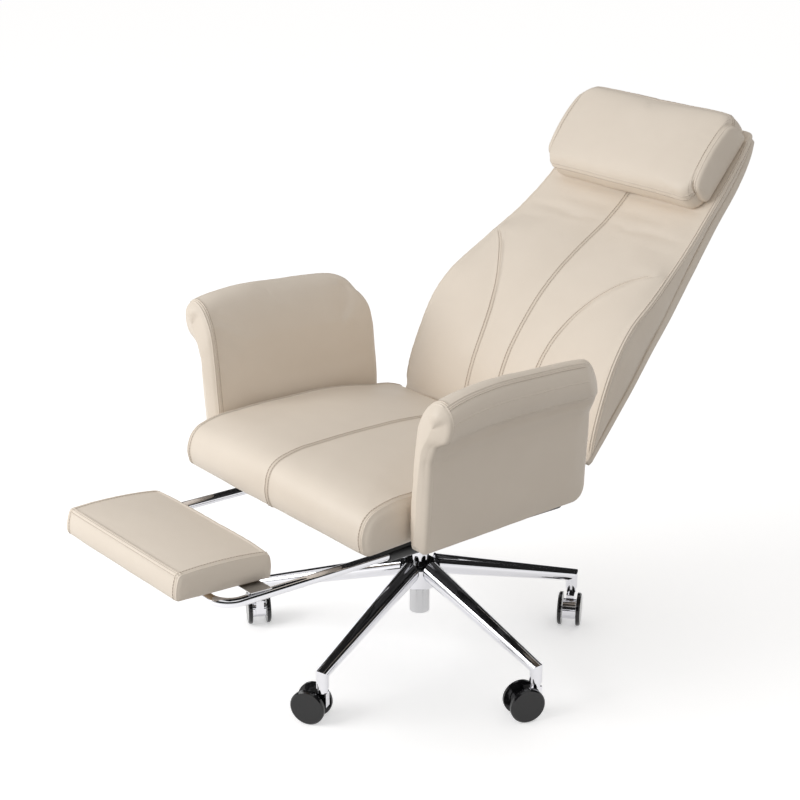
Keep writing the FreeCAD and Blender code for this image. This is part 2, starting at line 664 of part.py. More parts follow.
# Seat cushion: rounded nose, crowned top and a rear end that falls away under the back
def seat_section(across, inset, drop):
    front = size("seat_front") + inset
    rear = size("seat_rear") - inset * 0.3
    low = size("seat_low") + drop * 0.25
    top = size("seat_top") - drop
    tail = size("seat_tail")
    tuck = size("seat_tuck")
    return closed_wire((front + tuck, low), (
        (rear - tail / 3, low),
        (rear - tail / 12, low + tail / 3, rear, low + tail - drop * 0.15),
        (size("seat_heel"), size("seat_heel_high") - drop * 0.5,
         size("seat_fall"), size("seat_fall_high") - drop * 0.7),
        (size("seat_crest"), top - 1, size("seat_brow"), top),
        (size("seat_brow_side") + inset, top - size("seat_brow_drop"),
         front, size("seat_nose_high") - drop * 0.2),
        (front + tuck * 0.05, size("seat_nose_low"), front + tuck, low),
    ), lambda y, z: FreeCAD.Vector(across, y, z))


def seat_part(share, inset):
    """Section at a share of the half width: it draws in and drops most at the two ends."""
    back = size("seat_draw") * inset + size("seat_crown_back") * share * share
    down = size("seat_draw_down") * inset + size("seat_crown") * share * share
    return seat_section(share * size("seat_half"), back, down)


seat_wires = [seat_part(share, inset) for share, inset in END_SHAPE]
loose("seat_cushion", Part.makeLoft(seat_wires, True, True))


# Arms: padded pieces with a rolled top that leans outwards, shaped by three profiles
def arm_profile(name, role, corners):
    body = new_body(name)
    outline = draw(body, name + "_outline", role, corners)
    block = pad(body, outline, "arm_depth", midplane=True)
    return body, block


section_body, section_block = arm_profile("arm_section", "XZ_Plane", [
    ("arm_inner", "arm_low"),
    ("arm_foot", "arm_low"),
    ("arm_neck", "arm_neck_low"),
    ("arm_lip", "arm_lip_low"),
    ("arm_out", "arm_out_low"),
    ("arm_out", "arm_out_high"),
    ("arm_crest", "arm_high", "arm_crest_side", "arm_high - arm_crest_drop"),
    ("arm_waist_in", "arm_waist", "arm_shoulder", "arm_shoulder_high"),
])
side_body, side_block = arm_profile("arm_side", "YZ_Plane", [
    ("arm_front", "arm_low"),
    ("arm_rear", "arm_low"),
    ("arm_rear", "arm_high"),
    ("arm_front", "arm_high"),
])
for spot_y, spot_z, radius in (("arm_front", "arm_low", "arm_nose"), ("arm_rear", "arm_low", "arm_heel"),
                               ("arm_rear", "arm_high", "arm_rear_top"), ("arm_front", "arm_high", "arm_nose")):
    places = [FreeCAD.Vector(0, size(spot_y), size(spot_z))]
    side_block = fillet(side_body, side_block, edges_along(side_block, AXIS_X, places), size(radius))
plan_body, plan_block = arm_profile("arm_plan", "XY_Plane", [
    ("arm_inner", "arm_front"),
    ("arm_reach", "arm_front"),
    ("arm_reach", "arm_rear"),
    ("arm_inner", "arm_rear"),
])
plan_body.Placement = frame_at(0, 0, size("arm_high"))
places = [FreeCAD.Vector(size("arm_reach"), size("arm_rear"), 0)]
plan_block = fillet(plan_body, plan_block, edges_along(plan_block, AXIS_Z, places), size("arm_rear_side"))
arm = doc.addObject("Part::MultiCommon", "arm_left")
arm.Shapes = [section_body, side_body, plan_body]
keep(arm, "arm_left")
mirrored(arm, "arm_right")

# Back: its frame stands on the lower rear edge and leans with the back
lean = size("back_slope") - 90
back_place = frame_at(0, size("back_y"), size("back_z"), turn(AXIS_X, lean))


# Height up the back, half width, rear face, front edge, curved seam, face at the seam and at the middle
BACK_SHAPE = (
    (4, 244, 3, 15, 78, 18, 18),
    (30, 247, 4, 35, 78, 36, 36),
    (95, 247, 4, 64, 80, 64, 64),
    (165, 246, 4, 84, 88, 79, 77),
    (235, 242, 4, 85, 111, 81, 79),
    (310, 236, 3, 64, 160, 76, 69),
    (370, 228, 0, 48, 190, 57, 53),
    (440, 217, -6, 32, 190, 32, 29),
    (510, 208, -10, 21, 180, 19, 15),
    (600, 205, -10, 18, 170, 17, 16),
    (660, 201, -1, 21, 160, 19, 18),
    (692, 176, 6, 18, 130, 17, 17),
)


def back_section(up, half, rear, edge, seam, seam_face, middle):
    """Section across the back: flat rear, bulged sides, wings outside the curved seams."""
    shell = rear + size("panel_thick") + size("shell_gap")
    side = (shell + edge) / 2
    wing = (half + seam) / 2
    wing_face = (edge + seam_face) / 2 + (half - seam) * 0.03
    return closed_wire((2 - half, shell), (
        (half - 2, shell),
        (half, side, half - 3, edge),
        (wing, wing_face, seam, seam_face),
        (0, middle - 0.5, -seam, seam_face),
        (-wing, wing_face, 3 - half, edge),
        (-half, side, 2 - half, shell),
    ), lambda x, n: FreeCAD.Vector(x, -n, up))


def panel_section(up, half, rear, *unused):
    """Section across the rear panel of the back."""
    thick = size("panel_thick")
    return closed_wire((5 - half, rear), (
        (half - 5, rear),
        (half - 3, rear + thick / 2, half - 3, rear + thick),
        (3 - half, rear + thick),
        (3 - half, rear + thick / 2, 5 - half, rear),
    ), lambda x, n: FreeCAD.Vector(x, -n, up))


loose("back_cushion", Part.makeLoft([back_section(*row) for row in BACK_SHAPE], True, False), back_place)
loose("back_panel", Part.makeLoft([panel_section(*row) for row in BACK_SHAPE], True, False), back_place)

pillow_shape = box_cushion(size("pillow_half"), size("pillow_low"), size("pillow_high"),
                           size("pillow_rear"), size("pillow_front"), size("pillow_crown"),
                           size("pillow_corner"), size("pillow_draw"),
                           lambda x, s, n: FreeCAD.Vector(x, -n, s))
loose("headrest_pillow", pillow_shape, back_place)

mount_plate = doc.addObject("Part::Box", "back_mount")
bind(mount_plate, Length="mount_half + mount_half", Width="mount_thick", Height="mount_high - mount_low")
mount_plate.Placement = back_place * frame_at(-size("mount_half"), -size("mount_thick"), size("mount_low"))
keep(mount_plate, "back_mount_plate")


# Steel brackets that hook round the rear of the seat from the recline pin to the back
def bracket_shape():
    knee = back_place.multVec(FreeCAD.Vector(0, size("bracket_half"), size("bracket_low")))
    top = back_place.multVec(FreeCAD.Vector(0, size("bracket_half"), size("bracket_high")))
    line = Part.makePolygon([
        FreeCAD.Vector(0, size("recline_y"), size("recline_z")),
        FreeCAD.Vector(0, size("bracket_elbow_y"), size("bracket_elbow_z")),
        knee,
        top,
    ])
    outline = line.makeOffset2D(size("bracket_half"), 0, False, False)
    blank = Part.Face(outline).extrude(FreeCAD.Vector(size("bracket_thick"), 0, 0))
    pin = Part.makeCylinder(size("recline_pin") + size("pin_gap"), size("recline_half"),
                            FreeCAD.Vector(-size("recline_half") / 2, size("recline_y"), size("recline_z")), AXIS_X)
    return blank.cut(pin)


bracket = loose("back_bracket_left", bracket_shape(), frame_at(size("bracket_inner"), 0, 0))
mirrored(bracket, "back_bracket_right")


# Levers on the sitter's right: a steel rod and a moulded grip
def make_lever(name):
    place = frame_at(-size("lever_root"), size(name + "_y"), size("lever_z"),
                     turn(AXIS_Y, -90 - size("lever_droop")))
    rod = doc.addObject("Part::Cylinder", name + "_bar")
    bind(rod, Radius="lever_radius", Height="lever_length")
    rod.Placement = place
    barrel = doc.addObject("Part::Cylinder", name + "_barrel")
    bind(barrel, Radius="lever_barrel", Height="lever_barrel_half + lever_barrel_half")
    barrel.Placement = place * frame_at(0, -size("lever_barrel_half"), 0, turn(AXIS_X, -90))
    eye = doc.addObject("Part::Cylinder", name + "_eye")
    bind(eye, Radius="lever_pin + pin_gap", Height="lug_half + lug_half")
    eye.Placement = place * frame_at(0, -size("lug_half"), 0, turn(AXIS_X, -90))
    blank = doc.addObject("Part::MultiFuse", name + "_blank")
    blank.Shapes = [rod, barrel]
    pivoted = doc.addObject("Part::Cut", name + "_pivoted")
    pivoted.Base = blank
    pivoted.Tool = eye
    keep(pivoted, name + "_rod")
    handle = new_body(name + "_handle")
    outline = draw(handle, name + "_outline", "XY_Plane", [
        ("- grip_thick", "- grip_width"), ("grip_thick", "- grip_width"),
        ("grip_thick", "grip_width"), ("- grip_thick", "grip_width")])
    block = pad(handle, outline, "grip_length")
    fillet(handle, block, edges_along(block, AXIS_Z), size("grip_thick") * 0.8)
    handle.Placement = place * frame_at(0, 0, size("lever_length") - size("grip_overlap"))
    grip = doc.addObject("Part::Cut", name + "_grip")
    grip.Base = handle
    grip.Tool = rod
    keep(grip, name + "_grip")


for lever_name in LEVERS:
    make_lever(lever_name)

# Check every object, then write one file for each sub-part
doc.recompute()
for item in doc.Objects:
    if "Invalid" in item.State or "Error" in item.State:
        raise RuntimeError("object failed: " + item.Label)
labels = [item.Label for item in PARTS]
if len(set(labels)) != len(labels) or len(labels) > 60:
    raise RuntimeError("sub-part names repeat or are too many")
for item in PARTS:
    if item.Shape.isNull() or not item.Shape.isValid() or item.Shape.Volume < 1:
        raise RuntimeError("bad shape: " + item.Label)

os.makedirs("parts", exist_ok=True)
for item in PARTS:
    item.Shape.exportStep(os.path.join("parts", item.Label + ".step"))
    print("%-28s %9.1f cm3" % (item.Label, item.Shape.Volume / 1000))
print(len(PARTS), "sub-parts")
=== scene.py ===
# %% [markdown]
# # A reclining office chair with a footrest
# The chair is a steel and plywood construction, modelled elsewhere at its real size, that
# is loaded here as a fixed frame. This lesson dresses it: leather cushions with sewn seams,
# chromed steel, black plastic wheels, a pale floor and soft studio light. Everything is in
# metres: X runs across the chair to the sitter's left, Y to the rear and Z up.

# %% Load the frame
import math
import bpy
import numpy as np
from mathutils import Matrix


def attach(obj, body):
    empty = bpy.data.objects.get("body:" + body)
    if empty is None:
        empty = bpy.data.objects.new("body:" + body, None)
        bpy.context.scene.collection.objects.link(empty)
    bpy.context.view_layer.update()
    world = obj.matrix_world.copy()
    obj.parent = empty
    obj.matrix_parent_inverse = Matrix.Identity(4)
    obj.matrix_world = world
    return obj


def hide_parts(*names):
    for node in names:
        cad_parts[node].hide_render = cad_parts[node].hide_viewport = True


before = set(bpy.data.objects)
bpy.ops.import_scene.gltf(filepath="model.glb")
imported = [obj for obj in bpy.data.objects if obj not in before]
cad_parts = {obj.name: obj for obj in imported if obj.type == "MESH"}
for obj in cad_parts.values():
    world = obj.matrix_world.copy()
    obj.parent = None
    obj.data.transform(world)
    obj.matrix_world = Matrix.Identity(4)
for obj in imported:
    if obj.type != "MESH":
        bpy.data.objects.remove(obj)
bpy.context.scene.view_settings.view_transform = "Standard"
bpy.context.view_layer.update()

# %% [markdown]
# ## The camera
# A product photograph is taken from some way off with a long lens, so the chair hardly
# tapers. A Track To constraint could aim the camera at the seat, but the photograph fixes
# two angles and a distance, which were worked out from the five feet of the base, whose
# true places are known. So the camera's three axes are written straight into its matrix.

# %% Camera
AZIMUTH = math.radians(49.8181)
ELEVATION = math.radians(21.1635)
EYE = np.array((2.2937, -1.9854, 1.6793))
FOCAL = 81.0
SENSOR = 36.0
NEAR, FAR = 0.05, 60


def add_object(name, data):
    """Object that shows a mesh, a lamp or a camera, linked into the scene."""
    piece = bpy.data.objects.new(name, data)
    bpy.context.scene.collection.objects.link(piece)
    return piece


def axes_matrix(right, back, place):
    """Matrix of an object at a place: its X is right, its Z is back and its Y is their cross product."""
    turned = np.eye(4)
    turned[:3, 0] = right
    turned[:3, 1] = np.cross(back, right)
    turned[:3, 2] = back
    turned[:3, 3] = place
    return Matrix(turned.tolist())


def add_camera():
    """Camera at EYE that looks along its own -Z, with X level."""
    back = np.array((math.sin(AZIMUTH) * math.cos(ELEVATION),
                     -math.cos(AZIMUTH) * math.cos(ELEVATION), math.sin(ELEVATION)))
    right = np.array((math.cos(AZIMUTH), math.sin(AZIMUTH), 0.0))
    data = bpy.data.cameras.new("camera")
    data.lens = FOCAL
    data.sensor_width = SENSOR
    data.clip_start, data.clip_end = NEAR, FAR
    camera = add_object("camera", data)
    camera.matrix_world = axes_matrix(right, back, EYE)
    bpy.context.scene.camera = camera


add_camera()
print("camera", EYE.tolist(), "m, lens", FOCAL, "mm")

# %% [markdown]
# ## Surfaces from two parameters
# A cushion is leather sewn over foam. It could be sculpted from a subdivided box, but then
# its seams would wander. Here every cushion is one closed surface whose points have two
# parameters: U runs from one end of the cushion to the other, and V runs round its section.
# Whole arrays of points are worked out with numpy, which is quicker than moving vertices
# one at a time and keeps rows and columns, so a seam is simply one row or one column.

# %% Mesh from a grid of points
def grid_faces(rows, columns):
    """Quads between neighbouring rows, wrapping round the columns, and a cap at each end."""
    row = np.arange(rows - 1)[:, None] * columns
    column = np.arange(columns)[None, :]
    first = (row + column).ravel()
    beside = (row + (column + 1) % columns).ravel()
    quads = np.stack([first, beside, beside + columns, first + columns], axis=1).tolist()
    start = list(range(columns))[::-1]
    end = list(range((rows - 1) * columns, rows * columns))
    return quads + [start, end]


def outward(points):
    """True where the quads of a closed grid point away from its middle: the signed volume, a sum
    of triple products, is positive."""
    middle = points.reshape(-1, 3).mean(axis=0)
    here = points - middle
    beside = np.roll(here, -1, axis=1)
    return float(np.einsum("ijk,ijk->", here[:-1], np.cross(beside[:-1], beside[1:]))) > 0


def smooth_object(name, points, faces):
    """Smooth shaded object from an array of points and a list of faces."""
    mesh = bpy.data.meshes.new(name)
    mesh.from_pydata(points.reshape(-1, 3).tolist(), [], faces)
    mesh.polygons.foreach_set("use_smooth", np.ones(len(mesh.polygons), dtype=bool))
    mesh.update()
    return add_object(name, mesh)


def closed_surface(name, points):
    """Object from a grid of points (rows, columns, 3) that wraps round its columns."""
    if not outward(points):
        points = points[:, ::-1]
    return smooth_object(name, points, grid_faces(*points.shape[:2]))


def unit(vectors):
    """Vectors divided by their lengths."""
    return vectors / (np.linalg.norm(vectors, axis=-1, keepdims=True) + 1e-12)


def spline(x, knots, values):
    """Smooth curve through the knots: each run is the cubic whose slopes at its two ends are
    the mean slopes of the runs beside them."""
    x = np.asarray(x, float)
    knots = np.asarray(knots, float)
    values = np.asarray(values, float)
    steps = np.diff(knots)
    slopes = np.diff(values) / steps
    at = np.concatenate([slopes[:1], (slopes[1:] + slopes[:-1]) / 2, slopes[-1:]])
    run = np.clip(np.searchsorted(knots, x, side="right") - 1, 0, len(steps) - 1)
    t = np.clip((x - knots[run]) / steps[run], 0, 1)
    span = steps[run]
    return ((2 * t**3 - 3 * t**2 + 1) * values[run] + (t**3 - 2 * t**2 + t) * span * at[run]
            + (3 * t**2 - 2 * t**3) * values[run + 1] + (t**3 - t**2) * span * at[run + 1])


# %% [markdown]
# ## Sections and ends
# Cut through a cushion, and its outline is a loop with a corner at each seam. Bezier curves
# could draw it, but their handles are hard to keep even from row to row. So each run between
# two corners is a shallow parabola, as stuffed leather between two seams is, and a blur
# along the loop rounds the corners. Near each end the section is drawn in, first by a
# rounded edge and then towards a spine in the middle, which makes the end panel.

# %% Section loops
LOOP_SAMPLES = 1024


def each_row(table, rows):
    """The same table for every one of so many rows."""
    return np.repeat(table[None], rows, axis=0)


def section_loop(corners, bulges, v):
    """Points of the loop at V: between corner k and k + 1 the straight run plus its bulge
    times 4t(1 - t), square to the run and to the left. corners is (rows, K, 2), and the loop
    runs clockwise where its bulges stand outwards; v is (rows, columns)."""
    count = corners.shape[1]
    k = np.floor(v).astype(int) % count
    t = (v - np.floor(v))[..., None]
    rows = np.arange(corners.shape[0])[:, None]
    here = corners[rows, k]
    there = corners[rows, (k + 1) % count]
    run = there - here
    length = np.linalg.norm(run, axis=2, keepdims=True) + 1e-9
    side = np.stack([-run[..., 1], run[..., 0]], axis=2) / length
    return here + run * t + side * (4 * t * (1 - t)) * bulges[rows, k][..., None]


def blur_loops(loops, reach):
    """Rounds the corners of closed loops: each is sampled evenly along its length, blurred by
    a bell of that reach, and read back at its own points."""
    result = np.empty_like(loops)
    for row, loop in enumerate(loops):
        closed = np.vstack([loop, loop[:1]])
        arc = np.concatenate([[0], np.cumsum(np.linalg.norm(np.diff(closed, axis=0), axis=1))])
        even = np.linspace(0, arc[-1], LOOP_SAMPLES, endpoint=False)
        wave = np.fft.rfftfreq(LOOP_SAMPLES, d=arc[-1] / LOOP_SAMPLES)
        bell = np.exp(-2 * (math.pi * reach * wave) ** 2)
        for axis in range(loops.shape[2]):
            waves = np.fft.rfft(np.interp(even, arc, closed[:, axis])) * bell
            smooth = np.fft.irfft(waves, LOOP_SAMPLES)
            result[row, :, axis] = np.interp(arc[:-1], np.append(even, arc[-1]),
                                             np.append(smooth, smooth[0]))
    return result


def nearest_on_line(points, line):
    """Nearest place on a polyline to each point: its clamped projection on every run, and the
    closest of these."""
    best = np.zeros_like(points)
    least = np.full(points.shape[:-1], 1e9)
    for here, there in zip(line[:-1], line[1:]):
        run = there - here
        t = np.clip(((points - here) @ run) / (run @ run), 0, 1)[..., None]
        spot = here + t * run
        gap = np.linalg.norm(points - spot, axis=-1)
        closer = gap < least
        best[closer] = spot[closer]
        least = np.where(closer, gap, least)
    return best


# %% [markdown]
# ## Where the rows and columns lie
# A pressed seam is a millimetre wide and a cushion half a metre, and even rows fine enough
# for the seam would make millions of faces. So rows and columns stand close beside a seam
# and wide apart elsewhere, which puts the faces where the shape changes.

# %% Stations along a cushion
SEAM_STEPS = np.array((-6.5, -5.2, -4.6, -4.0, -3.4, -2.4, -1.5, -0.8, 0,
                       0.8, 1.5, 2.4, 3.4, 4.0, 4.6, 5.2, 6.5)) / 1000
STITCH_STEP = 4.0 / 1000


def fill_between(stops, spacing):
    """Sorted stops, with even stations added wherever two lie further apart than the spacing."""
    stops = np.unique(np.round(stops, 6))
    parts = []
    for here, there in zip(stops[:-1], stops[1:]):
        count = max(2, int(math.ceil((there - here) / spacing)) + 1)
        parts.append(np.linspace(here, there, count)[:-1])
    return np.append(np.concatenate(parts), stops[-1])


print("a seam has", len(SEAM_STEPS), "rows within", SEAM_STEPS[-1] * 1000, "mm on each side")

# %% [markdown]
# ## Stuffing
# Leather over foam swells a little between its seams. A formula could lift each panel, but
# cloth finds by itself how far each place can rise. The cloth simulation blows a cushion up
# with a gentle pressure while its seams, its underside and its end panels are held, on a
# coarse grid of 8 or 9 mm. The swelling is then read off as a field over U and V and added
# to the fine surface, so the seams stay exactly on their rows and columns.

# %% Cloth simulation of one coarse grid
CLOTH_FRAMES = 20


def swell(points, held, pressure, most):
    """How far each point of a coarse grid moves when the cushion is blown up, at most `most`
    metres."""
    flipped = not outward(points)
    shell = points[:, ::-1] if flipped else points
    grip = held[:, ::-1] if flipped else held
    piece = closed_surface("swelling", shell)
    group = piece.vertex_groups.new(name="held")
    group.add(np.nonzero(grip.ravel())[0].tolist(), 1.0, "REPLACE")
    cloth = piece.modifiers.new("cloth", "CLOTH")
    cloth.settings.quality = 5
    cloth.settings.mass = 0.25
    cloth.settings.tension_stiffness = 15
    cloth.settings.compression_stiffness = 15
    cloth.settings.shear_stiffness = 8
    cloth.settings.bending_stiffness = 2
    cloth.settings.use_pressure = True
    cloth.settings.uniform_pressure_force = pressure
    cloth.settings.vertex_group_mass = "held"
    cloth.settings.effector_weights.gravity = 0
    cloth.collision_settings.use_collision = False
    cloth.point_cache.frame_start = 1
    cloth.point_cache.frame_end = CLOTH_FRAMES
    for step in range(1, CLOTH_FRAMES + 1):
        bpy.context.scene.frame_set(step)
    live = piece.evaluated_get(bpy.context.evaluated_depsgraph_get())
    settled = np.empty(shell.size, np.float32)
    live.data.vertices.foreach_get("co", settled)
    moved = settled.reshape(shell.shape).astype(float) - shell
    bpy.data.objects.remove(piece, do_unlink=True)
    bpy.context.scene.frame_set(1)
    far = np.linalg.norm(moved, axis=2, keepdims=True)
    moved = moved * np.minimum(1.0, most / np.maximum(far, 1e-9))
    return moved[:, ::-1] if flipped else moved


# %% Reading the swelling on the fine grid
def cubic_weight(x):
    """Weight of a grid value at a distance of x steps: the cubic that passes through its neighbours."""
    x = np.abs(x)
    near = 1.5 * x**3 - 2.5 * x**2 + 1
    far = -0.5 * x**3 + 2.5 * x**2 - 4 * x + 2
    return np.where(x < 1, near, np.where(x < 2, far, 0))


def read_field(field, u, v):
    """Values of a field at fractional rows u and columns v, by the cubic through four rows and
    four columns. Columns wrap round and rows stop at the ends."""
    rows, columns = field.shape[:2]
    i = np.floor(u).astype(int)
    j = np.floor(v).astype(int)
    result = 0
    for di in range(-1, 3):
        wi = cubic_weight(u - i - di)
        for dj in range(-1, 3):
            weight = wi * cubic_weight(v - j - dj)
            result = result + field[np.clip(i + di, 0, rows - 1), (j + dj) % columns] * weight[..., None]
    return result


# %% [markdown]
# ## Pressed seams
# Where two pieces of leather are sewn, the seam sinks and the leather stands up on both
# sides of it. A bump map could shade that, but it would leave the outline smooth. So the
# fine grid itself is pushed along its normals, by each point's distance from the seam.

# %% Normals and unevenness
def grid_normals(points):
    """Unit normals of a closed grid: the cross product of its two central differences."""
    along = np.gradient(points, axis=0)
    around = (np.roll(points, -1, axis=1) - np.roll(points, 1, axis=1)) / 2
    normal = unit(np.cross(along, around))
    return normal if outward(points) else -normal


def ripple(points, wavelength, seed):
    """Soft unevenness between -1 and 1: the mean of six sine waves in seeded directions."""
    chance = np.random.default_rng(seed)
    total = np.zeros(points.shape[:-1])
    for _ in range(6):
        direction = chance.normal(size=3)
        direction /= np.linalg.norm(direction)
        length = wavelength * chance.uniform(0.7, 1.5)
        total += np.sin(2 * math.pi * (points @ direction) / length + chance.uniform(0, 2 * math.pi))
    return total / 6


# %% Seams on the fine grid
GROOVE = (-0.50, 0.0, 0.0010)
SHOULDER = (0.20, 0.0022, 0.0010)
STITCH_DENT = (-0.75, STITCH_STEP, 0.0008)
DRAWN_DOWN = (-0.22, 0.0, 0.010)
GATHER_SHARE = 0.16
GATHER_REACH = 0.006


def bell(gap, height, place, width):
    """Bell curve over a distance: its height, where it stands and its width."""
    return height * np.exp(-((gap - place) / width) ** 2)


def seam_profile(gap, twin):
    """Height across a seam of depth 1 at a distance from its middle: a groove, two soft shoulders,
    a wide shallow hollow and, if twin, a dent under each row of stitches."""
    parts = (GROOVE, SHOULDER, STITCH_DENT, DRAWN_DOWN) if twin else (GROOVE, SHOULDER, DRAWN_DOWN)
    return sum(bell(gap, *part) for part in parts)


def gathers(arc):
    """Uneven small waves along a seam, between -1 and 1: a quick sine whose pace drifts, times a
    slow one."""
    return np.sin(arc / 0.0034 + 2 * np.sin(arc / 0.021)) * np.sin(arc / 0.013 + 1)


def sew(points, seams):
    """Presses seams into a grid. A seam is (axis, index, depth, twin, weight): axis "u" is a row and
    "v" a column; weight is 1 where it is sewn and 0 where there is none. The distance of a point
    from a seam is square to the seam's own direction."""
    normal = grid_normals(points)
    lift = np.zeros(points.shape[:2])
    for axis, index, depth, twin, weight in seams:
        line = points[index] if axis == "u" else points[:, index]
        ends = "wrap" if axis == "u" else "edge"
        padded = np.pad(line, ((1, 1), (0, 0)), mode=ends)
        tangent = unit(padded[2:] - padded[:-2])
        arc = np.cumsum(np.linalg.norm(padded[1:-1] - padded[:-2], axis=1))
        if axis == "u":
            gap = points - line[None]
            flat = np.einsum("ijk,jk->ij", gap, tangent)[..., None] * tangent[None]
            share, arc = weight[None, :], arc[None, :]
        else:
            gap = points - line[:, None]
            flat = np.einsum("ijk,ik->ij", gap, tangent)[..., None] * tangent[:, None]
            share, arc = weight[:, None], arc[:, None]
        away = np.linalg.norm(gap - flat, axis=2)
        waves = gathers(arc) * bell(away, GATHER_SHARE, 0.0, GATHER_REACH)
        lift += share * depth * (seam_profile(away, twin) + waves)
    return points + normal * lift[..., None]


# %% [markdown]
# ## Stitches
# Each stitch is a short slack loop of thread that goes down into the leather at both ends.
# An image could show thousands of them, but it would lie flat, so a real small thread stands
# on the surface. One stitch has a few dozen faces, and all the stitches of a cushion are one
# mesh, placed by arrays of positions and directions.

# %% One stitch
THREAD = 0.00042
THREAD_WIDE = 1.25
STITCH_PITCH = 0.0056
STITCH_LENGTH = 0.0042
STITCH_THICK = np.array((0.35, 0.95, 1.0, 0.95, 0.35))
STITCH_SIDES = 6


def stitch_shape():
    """One stitch along X: five rings of six points. Its middle rises by the thread and its ends dip
    along a parabola."""
    rings = len(STITCH_THICK)
    along = np.linspace(-0.5, 0.5, rings)
    rise = THREAD * 1.1 * (1 - (2 * along) ** 2 * 1.6)
    turn = np.arange(STITCH_SIDES) * math.tau / STITCH_SIDES
    return np.stack([
        np.repeat(along * STITCH_LENGTH, STITCH_SIDES).reshape(rings, STITCH_SIDES),
        np.cos(turn)[None] * STITCH_THICK[:, None] * THREAD * THREAD_WIDE,
        rise[:, None] + np.sin(turn)[None] * STITCH_THICK[:, None] * THREAD], axis=2)


def stitch_faces(count):
    """Faces of so many stitches: quads between the rings, and a cap at each end."""
    side = np.arange(STITCH_SIDES)
    beside = (side + 1) % STITCH_SIDES
    quads = np.concatenate([np.stack([side, beside, STITCH_SIDES + beside, STITCH_SIDES + side], axis=1)
                            + ring * STITCH_SIDES for ring in range(len(STITCH_THICK) - 1)])
    first = np.arange(count) * STITCH_THICK.size * STITCH_SIDES
    quads = (quads[None] + first[:, None, None]).reshape(-1, 4)
    caps = first[:, None] + side[None, ::-1]
    ends = first[:, None] + (STITCH_THICK.size - 1) * STITCH_SIDES + side[None]
    return quads.tolist() + caps.tolist() + ends.tolist()


# %% Stitches along lines on a surface
def read_line(table, arc, places):
    """Values of a table at distances along its line, by straight interpolation."""
    return np.stack([np.interp(places, arc, table[:, k]) for k in range(3)], axis=1)


def stitches(name, lines):
    """Mesh of stitches on lines; a line is (points, normals) of its run over the surface. Each stitch
    lies along the line's direction, with its rise along the normal."""
    shape = stitch_shape()
    verts = []
    for points, normals in lines:
        steps = np.linalg.norm(np.diff(points, axis=0), axis=1)
        arc = np.concatenate([[0], np.cumsum(steps)])
        count = int(arc[-1] / STITCH_PITCH)
        if count < 2:
            continue
        places = (np.arange(count) + 0.5) * arc[-1] / count
        middle = read_line(points, arc, places)
        along = unit(read_line(points, arc, places + 0.001) - read_line(points, arc, places - 0.001))
        up = read_line(normals, arc, places)
        up = unit(up - np.einsum("ij,ij->i", up, along)[:, None] * along)
        side = np.cross(up, along)
        verts.append(middle[:, None, None] + shape[None, ..., :1] * along[:, None, None]
                     + shape[None, ..., 1:2] * side[:, None, None]
                     + shape[None, ..., 2:] * up[:, None, None])
    verts = np.concatenate(verts)
    print(name, len(verts), "stitches")
    return smooth_object(name, verts, stitch_faces(len(verts)))

# %% [markdown]
# ## Upholstering one cushion
# An upholsterer stretches the cover, sews it and pulls it over the foam. The six cushions
# could be six scripts, but they differ only in their outlines, so everything comes together
# in one function: the bare shape, the swelling from the cloth simulation, a little
# unevenness from the hand that stretched the leather, the pressed seams, and the rows of
# stitches beside them.

# %% Columns round a section
def columns(lengths, sewn, spacing):
    """V of every column: even steps along each run, and close steps beside the sewn corners.
    lengths is (rows, K), the length of each run in metres, so a close step stays the same width."""
    count = lengths.shape[1]
    near = SEAM_STEPS[SEAM_STEPS >= 0][None]
    ahead = SEAM_STEPS[SEAM_STEPS < 0][None]
    reach = SEAM_STEPS[-1]
    parts = []
    for k in range(count):
        length = lengths[:, k:k + 1]
        low = reach if k in sewn else 0.0
        high = reach if (k + 1) % count in sewn else 0.0
        parts.append(k + near / length if k in sewn else np.full_like(length, float(k)))
        steps = max(1, int(math.ceil((length.mean() - low - high) / spacing)))
        inner = low + (length - low - high) * np.linspace(0, 1, steps + 1)[None, 1:-1]
        parts.append(k + inner / length)
        if (k + 1) % count in sewn:
            parts.append(k + 1 + ahead / length)
    return np.concatenate(parts, axis=1)


def run_lengths(corners):
    """Length of each run of the section, row by row."""
    return np.linalg.norm(np.roll(corners, -1, axis=1) - corners, axis=2)


def grids(corners, stops, seams, sewn, spacing_u, spacing_v, coarse):
    """U and V of a cushion with one section all along: the fine grid, with close rows at each seam
    and close columns at the sewn corners, and the even coarse grid of the simulation."""
    close = (np.array(seams)[:, None] + SEAM_STEPS[None]).ravel()
    u = fill_between(np.concatenate([stops, close]), spacing_u)
    lengths = np.repeat(run_lengths(corners[None]), len(u), axis=0)
    coarse_u = fill_between(np.array((*stops, *seams)), coarse)
    coarse_v = columns(lengths[:1], set(), coarse)[0]
    return u, columns(lengths, sewn, spacing_v), coarse_u, coarse_v


# %% Rounded ends and their panels
CAP_END = 0.96
QUARTER = 0.785
DRAW_MOST = 0.92


def end_panel(beyond, edge, inset, panel, swell_out):
    """What happens past the last seam, at a distance in metres: the surface goes out by the edge radius
    while it draws in by the inset, round a quarter ellipse, which is QUARTER times the two long, and
    then collapses over the panel's length. Gives (outwards, drawn in, share collapsed)."""
    corner = (edge + inset) * QUARTER
    turn = np.clip(beyond / corner, 0, 1) * math.pi / 2
    share = np.clip((beyond - corner) / panel, 0, 1) * CAP_END
    return edge * np.sin(turn) + swell_out * (1 - (1 - share) ** 2), inset * (1 - np.cos(turn)), share


def per_point(value):
    """A value for each row, or for each row and column, shaped to multiply points."""
    return value[:, None, None] if value.ndim == 1 else value[..., None]


